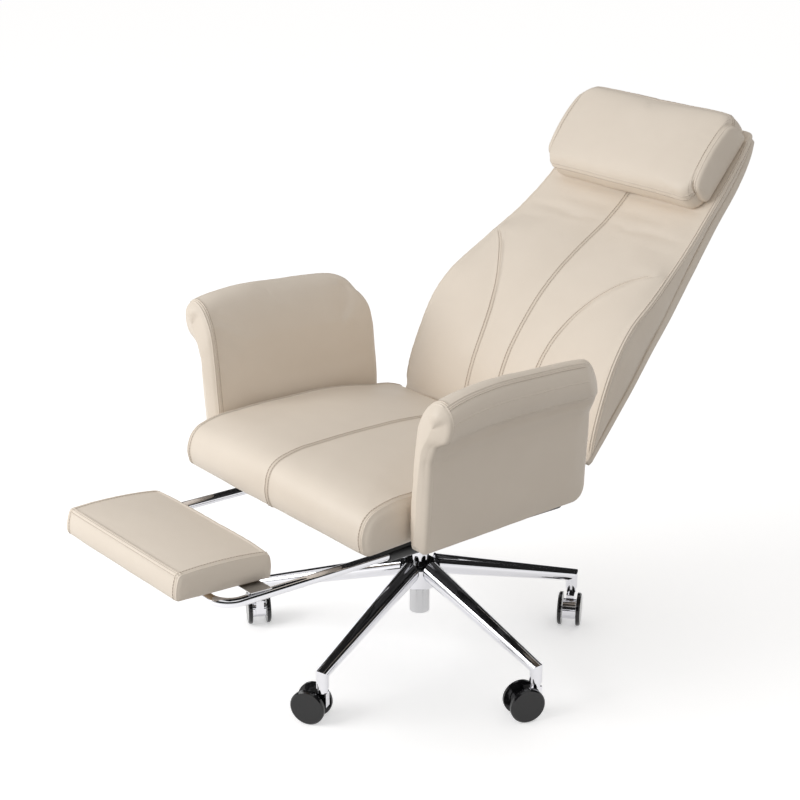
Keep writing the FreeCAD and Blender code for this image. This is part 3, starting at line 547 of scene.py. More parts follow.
def draw_in(section, spine, inset, share):
    """Section points moved towards a spine: first by the inset and then by a share of what is left."""
    inner = nearest_on_line(section, spine)
    gap = np.linalg.norm(inner - section, axis=2, keepdims=True) + 1e-9
    point = section + (inner - section) * np.minimum(per_point(inset) / gap, DRAW_MOST)
    return point + (inner - point) * per_point(share)


# %% The upholsterer's steps
BROAD_WAVE, SHORT_WAVE, SHORT_SHARE = 0.16, 0.05, 0.35


def soften(points, uneven, seed):
    """Adds the unevenness of stretched leather: broad waves and a few shorter ones, along the normals."""
    waves = ripple(points, BROAD_WAVE, seed) + SHORT_SHARE * ripple(points, SHORT_WAVE, seed + 1)
    return points + grid_normals(points) * (waves * uneven)[..., None]


def at_knot(v, knot, step=0.0):
    """Index of the column that lies a step beside a corner; the middle row's columns decide."""
    row = v[len(v) // 2]
    exact = int(np.argmin(np.abs(row - knot)))
    if step == 0:
        return exact
    side = int(np.sign(step))
    steps = SEAM_STEPS[SEAM_STEPS > 0] if side > 0 else -SEAM_STEPS[SEAM_STEPS < 0][::-1]
    return (exact + side * (1 + int(np.argmin(np.abs(steps - abs(step)))))) % v.shape[1]


def upholster(name, shape, grid, held, pressure, most, uneven, seams, seed, corners):
    """Finished cushion and its stitches. grid is (fine U, fine V, coarse U, coarse V). A seam is a
    dict: axis, place, depth, weight (of V for a "u" seam, of U for a "v" seam) and rows, the distances
    of its stitch rows from the seam. corners is how many the section has, where V comes round."""
    u, v, coarse_u, coarse_v = grid
    grid_v = np.broadcast_to(coarse_v, (len(coarse_u), len(coarse_v)))
    field = swell(shape(coarse_u, grid_v), held(coarse_u[:, None], coarse_v[None]), pressure, most)
    rows = np.interp(u, coarse_u, np.arange(len(coarse_u)))[:, None] + np.zeros_like(v)
    across = np.interp(v, np.append(coarse_v, corners), np.arange(len(coarse_v) + 1))
    points = shape(u, v) + read_field(field, rows, across)
    points = soften(points, uneven, seed)
    pressed = []
    for seam in seams:
        if seam["axis"] == "u":
            index = int(np.argmin(np.abs(u - seam["place"])))
            weight = seam["weight"](v[index])
        else:
            index = at_knot(v, seam["place"])
            weight = seam["weight"](u)
        pressed.append((seam["axis"], index, seam["depth"], bool(seam["rows"]), weight))
    points = sew(points, pressed)
    normal = grid_normals(points)
    lines = []
    for seam, (axis, index, depth, twin, weight) in zip(seams, pressed):
        for step in seam["rows"]:
            if axis == "u":
                row = int(np.argmin(np.abs(u - seam["place"] - step)))
                line, way = points[row], normal[row]
            else:
                column = at_knot(v, seam["place"], step)
                line, way = points[:, column], normal[:, column]
            sewn = np.nonzero(weight > 0.5)[0]
            for run in np.split(sewn, np.nonzero(np.diff(sewn) > 1)[0] + 1):
                if len(run) > 3:
                    lines.append((line[run], way[run]))
    piece = closed_surface(name, points)
    print(name, points.shape[0] * points.shape[1], "points")
    return piece, stitches(name + "_stitching", lines) if lines else None


def between(low, high):
    """Weight that is 1 from low to high and 0 elsewhere."""
    return lambda x: ((np.asarray(x) >= low) & (np.asarray(x) <= high)).astype(float)


TWIN = (-STITCH_STEP, STITCH_STEP)

# %% [markdown]
# ## Seat cushion
# The seat is a thick cushion with a rounded nose. A seam with a row of stitches on each
# side runs back to front along its middle and over the nose, and another one follows each
# side edge. It could be drawn from above, but its form shows in the side view, so that is
# the section below, and U runs across the chair.

# %% Seat cushion
SEAT_SIDE_SEAM = 0.246
SEAT_END = dict(edge=0.015, inset=0.022, panel=0.05, swell_out=0.002)
SEAT_REACH = SEAT_SIDE_SEAM + 0.02905 + SEAT_END["panel"]
SEAT_FALL = 0.013
SEAT_CORNERS = np.array((
    (-0.334, 0.3872), (-0.3425, 0.402), (-0.3445, 0.440), (-0.322, 0.4735), (-0.240, 0.4825),
    (-0.110, 0.4795), (0.088, 0.4535), (0.163, 0.4225), (0.161, 0.3872)))
SEAT_BULGES = np.array((0.001, 0.003, 0.0055, 0.004, 0.001, 0.006, 0.004, 0.001, 0.0))
SEAT_SPINE = np.array(((-0.300, 0.428), (0.02, 0.432), (0.115, 0.412)))


def seat_shape(u, v):
    """Seat surface: the side view drawn across the chair. The top falls with the cube of the distance
    from the middle, and the ends are rounded and closed by side panels."""
    side = np.minimum(np.abs(u), SEAT_SIDE_SEAM)
    out, inset, share = end_panel(np.abs(u) - side, **SEAT_END)
    corners = each_row(SEAT_CORNERS, len(u))
    fall = SEAT_FALL * (side / SEAT_SIDE_SEAM) ** 3
    corners[:, 2:7, 1] -= fall[:, None]
    corners[:, 1:4, 0] += 0.45 * fall[:, None]
    loop = blur_loops(section_loop(corners, each_row(SEAT_BULGES, len(u)), v), reach=0.007)
    loop = draw_in(loop, SEAT_SPINE, inset, share)
    x = np.sign(u) * (side + out)
    return np.stack([np.broadcast_to(x[:, None], loop.shape[:2]), loop[..., 0], loop[..., 1]], axis=2)


def seat_held(u, v):
    """Held: the seams, the side panels, the underside and the heel under the back."""
    seam = (np.abs(u) < 0.003) | (np.abs(np.abs(u) - SEAT_SIDE_SEAM) < 0.002)
    return seam | (np.abs(u) > SEAT_SIDE_SEAM) | (v < 0.5) | (v > 6.6)


seat_places = (0.0, -SEAT_SIDE_SEAM, SEAT_SIDE_SEAM)
seat_grid = grids(SEAT_CORNERS, (-SEAT_REACH, SEAT_REACH), seat_places, sewn=set(),
                  spacing_u=0.006, spacing_v=0.005, coarse=0.009)
seat_seams = [dict(axis="u", place=place, depth=0.0021, rows=TWIN, weight=between(0.3, 7.0))
              for place in seat_places]
seat, seat_stitching = upholster("seat_leather", seat_shape, seat_grid, seat_held, pressure=5.0, most=0.007,
                                 uneven=0.0011, seams=seat_seams, seed=11, corners=len(SEAT_CORNERS))

# %% [markdown]
# ## Footrest pad
# The pad is a flat box with a stitched seam round its top edge and one down each corner. A
# bevelled cube would do for its form but not for its seams, so it is made as the seat is.
# It sits on the cross bar of the sliding frame, leaning a little towards the floor at the
# front, so it is drawn in a frame of its own and then turned into place.

# %% Footrest pad
PAD_TILT = math.radians(5.2)
PAD_BAR = (-0.569785, 0.353793)
PAD_SIDE_SEAM = 0.160
PAD_END = dict(edge=0.008, inset=0.007, panel=0.05, swell_out=0.004)
PAD_REACH = PAD_SIDE_SEAM + 0.0118 + PAD_END["panel"]
PAD_PULL = 0.0035
PAD_CORNERS = np.array((
    (-0.074, 0.0158), (-0.0765, 0.018), (-0.0725, 0.0615), (0.1055, 0.0615), (0.109, 0.018),
    (0.107, 0.0158)))
PAD_BULGES = np.array((0.0, 0.0035, 0.0045, 0.0035, 0.0, 0.0))
PAD_SPINE = np.array(((-0.050, 0.038), (0.085, 0.038)))


def pad_shape(u, v):
    """Pad surface: the side view drawn across the chair, with the top edges drawn in at the four corners."""
    side = np.minimum(np.abs(u), PAD_SIDE_SEAM)
    out, inset, share = end_panel(np.abs(u) - side, **PAD_END)
    corners = each_row(PAD_CORNERS, len(u))
    pull = PAD_PULL * (side / PAD_SIDE_SEAM) ** 6
    corners[:, 1:3, 0] += pull[:, None]
    corners[:, 3:5, 0] -= pull[:, None]
    corners[:, 2:4, 1] -= pull[:, None] * 0.6
    loop = blur_loops(section_loop(corners, each_row(PAD_BULGES, len(u)), v), reach=0.0032)
    loop = draw_in(loop, PAD_SPINE, inset, share)
    y = PAD_BAR[0] + loop[..., 0] * math.cos(PAD_TILT) + loop[..., 1] * math.sin(PAD_TILT)
    z = PAD_BAR[1] - loop[..., 0] * math.sin(PAD_TILT) + loop[..., 1] * math.cos(PAD_TILT)
    x = np.sign(u) * (side + out)
    return np.stack([np.broadcast_to(x[:, None], y.shape), y, z], axis=2)


def pad_held(u, v):
    """Held: the seam round the top, the corners, the underside and the middle of the side panels."""
    seam = (np.abs(np.abs(u) - PAD_SIDE_SEAM) < 0.002) | (np.abs(v - 2) < 0.01) | (np.abs(v - 3) < 0.01)
    return seam | (v < 0.9) | (v > 4.1) | (np.abs(u) > PAD_SIDE_SEAM + 0.055)


pad_grid = grids(PAD_CORNERS, (-PAD_REACH, PAD_REACH), (-PAD_SIDE_SEAM, PAD_SIDE_SEAM), sewn={2, 3},
                 spacing_u=0.005, spacing_v=0.004, coarse=0.008)
pad_seams = [dict(axis="v", place=place, depth=0.0016, rows=TWIN,
                  weight=between(-PAD_SIDE_SEAM, PAD_SIDE_SEAM)) for place in (2, 3)]
pad_seams += [dict(axis="u", place=place, depth=0.0016, rows=(-math.copysign(STITCH_STEP, place),),
                   weight=between(1.0, 4.0)) for place in (-PAD_SIDE_SEAM, PAD_SIDE_SEAM)]
pad, pad_stitching = upholster("footrest_leather", pad_shape, pad_grid, pad_held, pressure=5.0, most=0.004,
                               uneven=0.0008, seams=pad_seams, seed=23, corners=len(PAD_CORNERS))

# %% [markdown]
# ## Back
# The back is one tall cushion. Two curved seams sweep up from the seat and out to the
# edges, so the lower corners stand proud as wings, and a third seam runs up the middle. A
# section in the side view would cross these seams, so the sections lie across the back,
# with a corner at each seam, and U runs up its rear face. The tables say how far each
# corner stands out at twelve heights, and the corner of a curved seam moves out with them.

# %% Tables of the back
BACK_ORIGIN = (0.190, 0.410)
BACK_SLOPE = math.radians(47.5)
BACK_UP = (0.0, 0.031, 0.097, 0.165, 0.235, 0.300, 0.362, 0.439, 0.510, 0.600, 0.660, 0.690)
BACK_HALF = (0.2535, 0.2535, 0.252, 0.2495, 0.2435, 0.2375, 0.2285, 0.2165, 0.208, 0.2045, 0.202, 0.196)
BACK_EDGE = (0.012, 0.033, 0.063, 0.083, 0.084, 0.066, 0.0490, 0.0315, 0.0215, 0.0185, 0.021, 0.020)
BACK_REAR = (0.0135, 0.0142, 0.0145, 0.0145, 0.0145, 0.0135, 0.0110, 0.0045, 0.0005, 0.0, 0.008, 0.014)
SEAM_FACE = (0.018, 0.036, 0.064, 0.078, 0.081, 0.077, 0.0600, 0.0335, 0.0215, 0.0175, 0.019, 0.018)
MIDDLE_FACE = (0.018, 0.036, 0.064, 0.077, 0.0795, 0.071, 0.0545, 0.0285, 0.0150, 0.0155, 0.018, 0.017)
CURVE_UP = (0.0, 0.123, 0.148, 0.186, 0.235, 0.275, 0.325, 0.349, 0.369, 0.400, 0.70)
CURVE_OUT = (0.079, 0.082, 0.085, 0.093, 0.111, 0.134, 0.174, 0.202, 0.2245, 0.240, 0.240)
CURVE_END = 0.358
MERGE_LENGTH, MERGE_SHARE = 0.05, 0.8
WING_LEAST = 0.020
WING_BULGE = 0.045
BACK_DEEPEST = 0.235
print("the back is", 2 * max(BACK_HALF), "m wide and", max(BACK_EDGE), "m deep at its wings")


# %% Sections of the back
def back_to_world(x, up, out):
    """A place across the back, up its rear face and out from it, in the chair's frame."""
    y = BACK_ORIGIN[0] + math.cos(BACK_SLOPE) * up - math.sin(BACK_SLOPE) * out
    z = BACK_ORIGIN[1] + math.sin(BACK_SLOPE) * up + math.cos(BACK_SLOPE) * out
    return np.stack([x, y, z], axis=-1)


def back_corners(up):
    """Eight corners of the section: middle of the face, curved seam, front edge, rear edge, middle of
    the rear, and the same three mirrored. Past its end the curved seam merges with the edge."""
    half = spline(up, BACK_UP, BACK_HALF)
    seam = np.minimum(spline(up, CURVE_UP, CURVE_OUT), half - WING_LEAST)
    edge = spline(up, BACK_UP, BACK_EDGE)
    rear = spline(up, BACK_UP, BACK_REAR)
    face = spline(up, BACK_UP, SEAM_FACE)
    merged = np.clip((up - CURVE_END) / MERGE_LENGTH, 0, 1) * MERGE_SHARE
    face = np.where(up > CURVE_END, face + (edge - face) * merged, face)
    middle = spline(up, BACK_UP, MIDDLE_FACE)
    side = [(0 * up, middle), (seam, face), (half, edge), (half - 0.002, rear), (0 * up, rear),
            (0.002 - half, rear), (-half, edge), (-seam, face)]
    return np.stack([np.stack(pair, axis=1) for pair in side], axis=1)


def back_bulges(up):
    """Bulge of each run: hardly any across the face, a little on the wings and the side boxing."""
    half = spline(up, BACK_UP, BACK_HALF)
    wing = WING_BULGE * np.maximum(half - spline(up, CURVE_UP, CURVE_OUT), 0)
    flat = 0 * up
    box = flat + 0.0035
    face = 0.002 + flat
    return np.stack([face, wing, box, flat, flat, box, wing, face], axis=1)


# %% Back cushion
BACK_SPINE = np.array(((-0.17, 0.0), (0.17, 0.0)))
BACK_ENDS = (0.001, 0.678)
BACK_REACH = (-0.0316, 0.7216)
BACK_TOP = dict(edge=0.016, inset=0.014, panel=0.02, swell_out=0.002)
BACK_FOOT = dict(edge=0.010, inset=0.006, panel=0.02, swell_out=0.0)


def back_shape(u, v):
    """Back surface: sections stacked up the rear face, with a rounded roll at the top and a short one
    at the foot, each closed by a narrow panel."""
    up = np.clip(u, *BACK_ENDS)
    over, over_in, over_share = end_panel(u - up, **BACK_TOP)
    under, under_in, under_share = end_panel(up - u, **BACK_FOOT)
    corners = back_corners(up)
    loop = blur_loops(section_loop(corners, back_bulges(up), v), reach=0.0042)
    middle = (corners[:, 0, 1] + corners[:, 4, 1]) / 2
    loop[..., 1] -= middle[:, None]
    loop = draw_in(loop, BACK_SPINE, over_in + under_in, over_share + under_share)
    loop[..., 1] += middle[:, None]
    tall = np.where(u > up, up + over, np.where(u < up, up - under, up))
    return back_to_world(loop[..., 0], np.broadcast_to(tall[:, None], loop.shape[:2]), loop[..., 1])


def back_held(u, v):
    """Held: the seams, the sides of the shell, the rear and both ends."""
    face = np.minimum(v, 8 - v)
    seam = (face < 0.01) | ((np.abs(face - 1) < 0.01) & (u < CURVE_END)) | (np.abs(face - 2) < 0.01)
    return seam | (face > 2.9) | (u < BACK_ENDS[0]) | (u > BACK_ENDS[1])


def run_out(u):
    """Weight of a curved seam: full from just above the foot, and fading over its last 14 mm."""
    return np.clip((u - 0.02) / 0.01, 0, 1) * np.clip((CURVE_END - u) / 0.014, 0, 1)


back_stops = np.array((BACK_REACH[0], BACK_ENDS[0], 0.12, 0.36, BACK_ENDS[1], BACK_REACH[1]))
back_u = fill_between(back_stops, spacing=0.0045)
back_lengths = run_lengths(back_corners(np.clip(back_u, *BACK_ENDS)))
back_v = columns(back_lengths, sewn={0, 1, 2, 6, 7}, spacing=0.006)
back_coarse_u = fill_between(back_stops, spacing=0.009)
deepest = run_lengths(back_corners(np.array((BACK_DEEPEST,))))
back_grid = (back_u, back_v, back_coarse_u, columns(deepest, sewn=set(), spacing=0.009)[0])
back_seams = [dict(axis="v", place=0, depth=0.0021, rows=TWIN, weight=between(0.03, 0.66))]
back_seams += [dict(axis="v", place=place, depth=0.0021, rows=TWIN, weight=run_out) for place in (1, 7)]
back_seams += [dict(axis="v", place=place, depth=0.0018, rows=TWIN, weight=between(0.012, 0.674))
               for place in (2, 6)]
back, back_stitching = upholster("back_leather", back_shape, back_grid, back_held, pressure=4.5, most=0.006,
                                 uneven=0.0012, seams=back_seams, seed=37, corners=8)

# %% [markdown]
# ## Head pillow
# The pillow is a plump box that hangs on the upper back, with the same double rows of
# stitches along its edges. A box with sharp corners looks like a brick, and a bevel would
# move its seams, so its top and foot draw in along a quarter circle before each side seam.

# %% Head pillow
PILLOW_SIDE_SEAM = 0.184
PILLOW_END = dict(edge=0.012, inset=0.006, panel=0.050, swell_out=0.003)
PILLOW_REACH = PILLOW_SIDE_SEAM + 0.01413 + PILLOW_END["panel"]
PILLOW_CORNERS = np.array((
    (0.512, 0.0235), (0.5115, 0.067), (0.527, 0.0865), (0.674, 0.0895), (0.6955, 0.072),
    (0.6960, 0.0235)))
PILLOW_ROUND = 0.021
PILLOW_THINNER = 0.006
PILLOW_BULGES = np.array((0.003, 0.0045, 0.006, 0.0045, 0.003, 0.0))
PILLOW_SPINE = np.array(((0.545, 0.052), (0.663, 0.052)))


def pillow_shape(u, v):
    """Pillow surface: its side view drawn across the back, whose top and foot draw in along a quarter
    circle before each side seam, so the face is a rectangle with round corners."""
    side = np.minimum(np.abs(u), PILLOW_SIDE_SEAM)
    out, inset, share = end_panel(np.abs(u) - side, **PILLOW_END)
    corners = each_row(PILLOW_CORNERS, len(u))
    near = np.clip((side - PILLOW_SIDE_SEAM + PILLOW_ROUND) / PILLOW_ROUND, 0, 1)
    pull = PILLOW_ROUND * (1 - np.sqrt(1 - 0.995 * near**2))
    corners[:, :3, 0] += pull[:, None]
    corners[:, 3:, 0] -= pull[:, None]
    corners[:, 1:5, 1] -= PILLOW_THINNER * (side / PILLOW_SIDE_SEAM)[:, None] ** 5
    loop = blur_loops(section_loop(corners, each_row(PILLOW_BULGES, len(u)), v), reach=0.006)
    loop = draw_in(loop, PILLOW_SPINE, inset, share)
    x = np.sign(u) * (side + out)
    return back_to_world(np.broadcast_to(x[:, None], loop.shape[:2]), loop[..., 0], loop[..., 1])


def pillow_held(u, v):
    """Held: the lower seam, the side seams, the rear face and the middle of the side panels."""
    seam = (np.abs(v - 1) < 0.01) | (np.abs(np.abs(u) - PILLOW_SIDE_SEAM) < 0.002)
    return seam | (v > 4.6) | (v < 0.2) | (np.abs(u) > PILLOW_SIDE_SEAM + 0.05)


pillow_places = (-PILLOW_SIDE_SEAM, PILLOW_SIDE_SEAM)
pillow_grid = grids(PILLOW_CORNERS, (-PILLOW_REACH, PILLOW_REACH), pillow_places, sewn={1, 4},
                    spacing_u=0.005, spacing_v=0.004, coarse=0.008)
pillow_seams = [dict(axis="v", place=place, depth=0.0018, rows=TWIN,
                     weight=between(*pillow_places)) for place in (1, 4)]
pillow_seams += [dict(axis="u", place=place, depth=0.0018, rows=TWIN, weight=between(0.97, 4.03))
                 for place in pillow_places]
pillow, pillow_stitching = upholster("pillow_leather", pillow_shape, pillow_grid, pillow_held, pressure=5.0,
                                     most=0.006, uneven=0.0012, seams=pillow_seams, seed=41,
                                     corners=len(PILLOW_CORNERS))

# %% [markdown]
# ## Arms
# An arm is a padded panel whose top rolls outwards, like a wave. A bolster laid along a panel
# could make it, but the leather runs over both in one piece. So its section is drawn once,
# from the foot up the inner face, over the roll, under its lip and down the outer face. U
# runs from the front to the rear, and each line ends where the rounded rear corner needs it.

# %% Outline of an arm
ARM_FRONT_SEAM = -0.2495
ARM_LENGTH = 0.362
ARM_EDGE = 0.0095
ARM_INSET = 0.0085
ARM_ROUND = 0.008
ARM_ROUND_AT = 4.5
ARM_FRONT = 0.056
ARM_NOSE = 0.015
ARM_REAR_END = dict(edge=0.013, inset=0.012, panel=0.03, swell_out=0.001)
ARM_REAR_REACH = 0.0197 + ARM_REAR_END["panel"]
ARM_REAR_LINE = 0.1280
ARM_CORNERS = np.array((
    (0.2730, 0.3915), (0.2765, 0.500), (0.2865, 0.600), (0.3050, 0.6480), (0.3340, 0.6690), (0.3540, 0.6640),
    (0.3680, 0.6390), (0.3590, 0.6050), (0.3335, 0.5905), (0.3205, 0.5550), (0.3085, 0.3915)))
ARM_BULGES = np.array((0.0035, 0.001, 0.003, 0.004, 0.003, 0.004, 0.003, 0.0, 0.0, 0.002, 0.0))
ARM_SPINE = np.array(((0.290, 0.408), (0.2975, 0.500), (0.3065, 0.580), (0.333, 0.630)))


def arm_rear(x, z):
    """Where a line along the arm ends: the inner face reaches furthest, and the end comes forward at the
    top, on the outer roll and at the foot, each by a part of a circle or a power."""
    outer = 0.0145 * np.clip((x - 0.285) / 0.025, 0, 1)
    top = 0.040 * (1 - np.sqrt(1 - np.clip((z - 0.575) / 0.098, 0, 0.999) ** 2))
    side = 0.040 * np.clip((x - 0.325) / 0.042, 0, 1) ** 1.3
    foot = 0.024 * (1 - np.sqrt(1 - np.clip((0.4155 - z) / 0.024, 0, 1) ** 2))
    return ARM_REAR_LINE - outer - top - side - foot


CREST_ALONG = (-0.262, -0.235, -0.157, -0.066, 0.054, 0.13)
CREST_LIFT = np.array((-0.012, -0.004, 0.002, -0.004, -0.016, -0.030))
CREST_FULLER = np.array((0.0, 0.001, 0.004, 0.007, 0.010, 0.010))


def arm_crest(y, sign):
    """How far the roll stands above its section, along the arm; the left one is stuffed fuller."""
    return spline(y, CREST_ALONG, CREST_LIFT + (0.5 + 0.5 * sign) * CREST_FULLER)


def arm_foot(y):
    """How far the foot hangs below its straight line: 4 mm at the front and 10 mm at the rear."""
    return 0.004 + 0.006 * np.clip((y + 0.25) / 0.36, 0, 1)


# %% Arms
def arm_shape(sign):
    """Gives the function for the surface of one arm; sign is 1 for the sitter's left."""
    def shape(u, v):
        """The section at U, drawn in at both ends. The front edge is rounder at the roll, the whole
        front panel ends at the depth of the nose, and the crest and the foot are added last."""
        along = np.clip(u, 0, ARM_LENGTH)
        round_over = ARM_ROUND * np.exp(-((v - ARM_ROUND_AT) / 0.9) ** 4)
        edge = ARM_EDGE + round_over
        inset = ARM_INSET + round_over
        panel = ARM_FRONT - (edge + inset) * QUARTER
        front, front_in, front_share = end_panel((along - u)[:, None], edge, inset, panel, 0.0015)
        rear, rear_in, rear_share = end_panel((u - along)[:, None], **ARM_REAR_END)
        corners = each_row(ARM_CORNERS, len(u))
        loop = blur_loops(section_loop(corners, each_row(ARM_BULGES, len(u)), v), reach=0.0042)
        loop = draw_in(loop, ARM_SPINE, front_in + rear_in, front_share + rear_share)
        last = arm_rear(loop[..., 0], loop[..., 1]) - ARM_REAR_END["edge"]
        y = ARM_FRONT_SEAM + (along / ARM_LENGTH)[:, None] * (last - ARM_FRONT_SEAM)
        front = front + front_share * (ARM_NOSE - front)
        y = y - front + rear
        lift = arm_crest(y, sign) * np.clip((loop[..., 1] - 0.52) / 0.13, 0, 1)
        lift = lift - arm_foot(y) * np.clip((0.46 - loop[..., 1]) / 0.07, 0, 1)
        return np.stack([sign * loop[..., 0], y, loop[..., 1] + lift], axis=2)
    return shape


def arm_held(u, v):
    """Held: the front seam, the seams of the roll, the hollow under it, the foot, the middle of the
    front panel and the rear end."""
    seam = np.abs(u) < 0.002
    for corner in (5, 6, 7):
        seam = seam | (np.abs(v - corner) < 0.01)
    foot = (v > 9.97) | (v < 0.03)
    ends = (u < -0.038) | (u > ARM_LENGTH + 0.02)
    return seam | foot | ends | (np.abs(v - 8) < 0.3)


arm_grid = grids(ARM_CORNERS, (-ARM_FRONT, ARM_LENGTH, ARM_LENGTH + ARM_REAR_REACH), (0.0,),
                 sewn={5, 6, 7}, spacing_u=0.005, spacing_v=0.005, coarse=0.009)
arm_seams = [dict(axis="u", place=0.0, depth=0.0018, rows=(STITCH_STEP,), weight=between(0.1, 4.7)),
             dict(axis="u", place=0.0, depth=0.0010, rows=(), weight=between(4.7, 9.9))]
arm_seams += [dict(axis="v", place=place, depth=depth, rows=rows, weight=between(0.0, ARM_LENGTH))
              for place, depth, rows in ((5, 0.0018, (STITCH_STEP,)), (6, 0.0014, ()), (7, 0.0014, ()))]
arms = {}
for side, sign, seed in (("left", 1, 53), ("right", -1, 67)):
    arms[side] = upholster("arm_leather_" + side, arm_shape(sign), arm_grid, arm_held, pressure=4.5,
                           most=0.0045, uneven=0.0011, seams=arm_seams, seed=seed,
                           corners=len(ARM_CORNERS))

# %% [markdown]
# ## Rear panel of the back
# The rear of the back is a thin shell covered in the same leather, the side of the chair
# that a room sees. Solidify could thicken a sheet, but the shell also swells at half its
# height. So its sections use the cushion's own tables, one that says how far it swells, and
# an edge that is rounded like a wrapped board.

# %% Rear panel
PANEL_THICK = 0.0098
PANEL_WIDE = 0.48
PANEL_END = dict(edge=0.008, inset=0.004, panel=0.02, swell_out=0.0)
PANEL_INSET_MOST = 0.0044
PANEL_REACH = (-0.029, 0.708)
PANEL_SPINE = np.array(((-0.16, 0.0), (0.16, 0.0)))
PANEL_SWELL = (0.002, 0.002, 0.002, 0.002, 0.003, 0.006, 0.0085, 0.009, 0.009, 0.0075, 0.004, 0.002)


def panel_shape(u, v):
    """Shell behind the cushion: a thin section across the back, stacked up its rear face."""
    up = np.clip(u, *BACK_ENDS)
    over, over_in, over_share = end_panel(u - up, **PANEL_END)
    under, under_in, under_share = end_panel(up - u, **PANEL_END)
    half = spline(up, BACK_UP, BACK_HALF) - 0.0015
    front = spline(up, BACK_UP, BACK_REAR) - 0.0006
    rear = front - PANEL_THICK - spline(up, BACK_UP, PANEL_SWELL)
    corners = np.stack([np.stack(pair, axis=1) for pair in (
        (-half, front), (half, front), (half, rear), (-half, rear))], axis=1)
    loop = blur_loops(section_loop(corners, np.zeros((len(u), 4)), v), reach=0.0016)
    middle = (front + rear) / 2
    loop[..., 1] -= middle[:, None]
    inset = np.minimum(over_in + under_in, PANEL_INSET_MOST)
    loop = draw_in(loop, PANEL_SPINE, inset, over_share + under_share)
    loop[..., 1] += middle[:, None]
    tall = np.where(u > up, up + over, np.where(u < up, up - under, up))
    return back_to_world(loop[..., 0], np.broadcast_to(tall[:, None], loop.shape[:2]), loop[..., 1])


panel_u = fill_between(np.array((PANEL_REACH[0], *BACK_ENDS, PANEL_REACH[1])), spacing=0.008)
panel_lengths = each_row(np.array((PANEL_WIDE, PANEL_THICK, PANEL_WIDE, PANEL_THICK)), len(panel_u))
panel_v = columns(panel_lengths, sewn=set(), spacing=0.0025)
panel_points = soften(panel_shape(panel_u, panel_v), uneven=0.0005, seed=71)
panel = closed_surface("back_panel_leather", panel_points)
print("rear panel", panel_points.shape)

# %% [markdown]
# ## Finishes
# Each finish is a node material. Photographs of leather or metal could be wrapped round the
# pieces, but they stretch and repeat, so the patterns come from noise on Object coordinates.
# The pebbled grain of leather and the fine wear of handled surfaces are node groups that
# give out masks, and each finish places them with its own scale.

# %% Node helpers
def group_with(name, inputs, outputs):
    """New shader node group with named float inputs and outputs."""
    group = bpy.data.node_groups.new(name, "ShaderNodeTree")
    for label, value in inputs.items():
        socket = group.interface.new_socket(label, in_out="INPUT", socket_type="NodeSocketFloat")
        socket.default_value = value
    for label in outputs:
        group.interface.new_socket(label, in_out="OUTPUT", socket_type="NodeSocketFloat")
    return group, group.nodes.new("NodeGroupInput"), group.nodes.new("NodeGroupOutput")


def math_node(tree, operation, first, second):
    """Math node whose two inputs are sockets or numbers; gives its output socket."""
    node = tree.nodes.new("ShaderNodeMath")
    node.operation = operation
    for socket, value in zip(node.inputs, (first, second)):
        if isinstance(value, (int, float)):
            socket.default_value = value
        else:
            tree.links.new(value, socket)
    return node.outputs[0]


def texture(tree, kind, scale, **settings):
    """Texture node on Object coordinates; scale is a socket or a number."""
    node = tree.nodes.new(kind)
    place = tree.nodes.new("ShaderNodeTexCoord")
    tree.links.new(place.outputs["Object"], node.inputs["Vector"])
    if isinstance(scale, (int, float)):
        node.inputs["Scale"].default_value = scale
    else:
        tree.links.new(scale, node.inputs["Scale"])
    for label, value in settings.items():
        node.inputs[label].default_value = value
    return node


# %% Grain and wear
GRAIN_SCALE = 650.0


def grain_group():
    """Leather grain: the borders of small cells, broken up by noise, and broad blotches."""
    group, start, end = group_with("leather_grain", {"Scale": GRAIN_SCALE}, ("Height", "Blotch"))
    cells = texture(group, "ShaderNodeTexVoronoi", start.outputs["Scale"])
    cells.feature = "DISTANCE_TO_EDGE"
    pebbles = math_node(group, "MINIMUM", math_node(group, "MULTIPLY", cells.outputs["Distance"], 3.0), 1.0)
    pores = texture(group, "ShaderNodeTexNoise", 2100.0, Detail=2.0)
    fine = math_node(group, "MULTIPLY", pores.outputs["Fac"], 0.35)
    group.links.new(math_node(group, "ADD", pebbles, fine), end.inputs["Height"])
    blotch = texture(group, "ShaderNodeTexNoise", 9.0, Detail=3.0, Roughness=0.6)
    group.links.new(blotch.outputs["Fac"], end.inputs["Blotch"])
    return group


def wear_group():
    """Fine wear: thin scratches from stretched noise and soft smudges."""
    group, start, end = group_with("fine_wear", {"Scale": 60.0}, ("Scratch", "Smudge"))
    streaks = texture(group, "ShaderNodeTexNoise", start.outputs["Scale"], Detail=4.0, Distortion=1.5)
    sharp = math_node(group, "POWER", streaks.outputs["Fac"], 3.0)
    group.links.new(sharp, end.inputs["Scratch"])
    smudge = texture(group, "ShaderNodeTexNoise", 14.0, Detail=2.0)
    group.links.new(smudge.outputs["Fac"], end.inputs["Smudge"])
    return group


GRAIN = grain_group()
WEAR = wear_group()
print("groups", GRAIN.name, WEAR.name)


# %% Steps of a finish
def new_finish(name, **settings):
    """Material with a Principled BSDF whose plain sockets are set by name."""
    material = bpy.data.materials.new(name)
    material.use_nodes = True
    shader = material.node_tree.nodes["Principled BSDF"]
    for label, value in settings.items():
        shader.inputs[label.replace("_", " ")].default_value = value
    return material, material.node_tree, shader


def place_group(tree, group, scale):
    """Node that shows a group in a material, at the material's own scale."""
    node = tree.nodes.new("ShaderNodeGroup")
    node.node_tree = group
    node.inputs["Scale"].default_value = scale
    return node


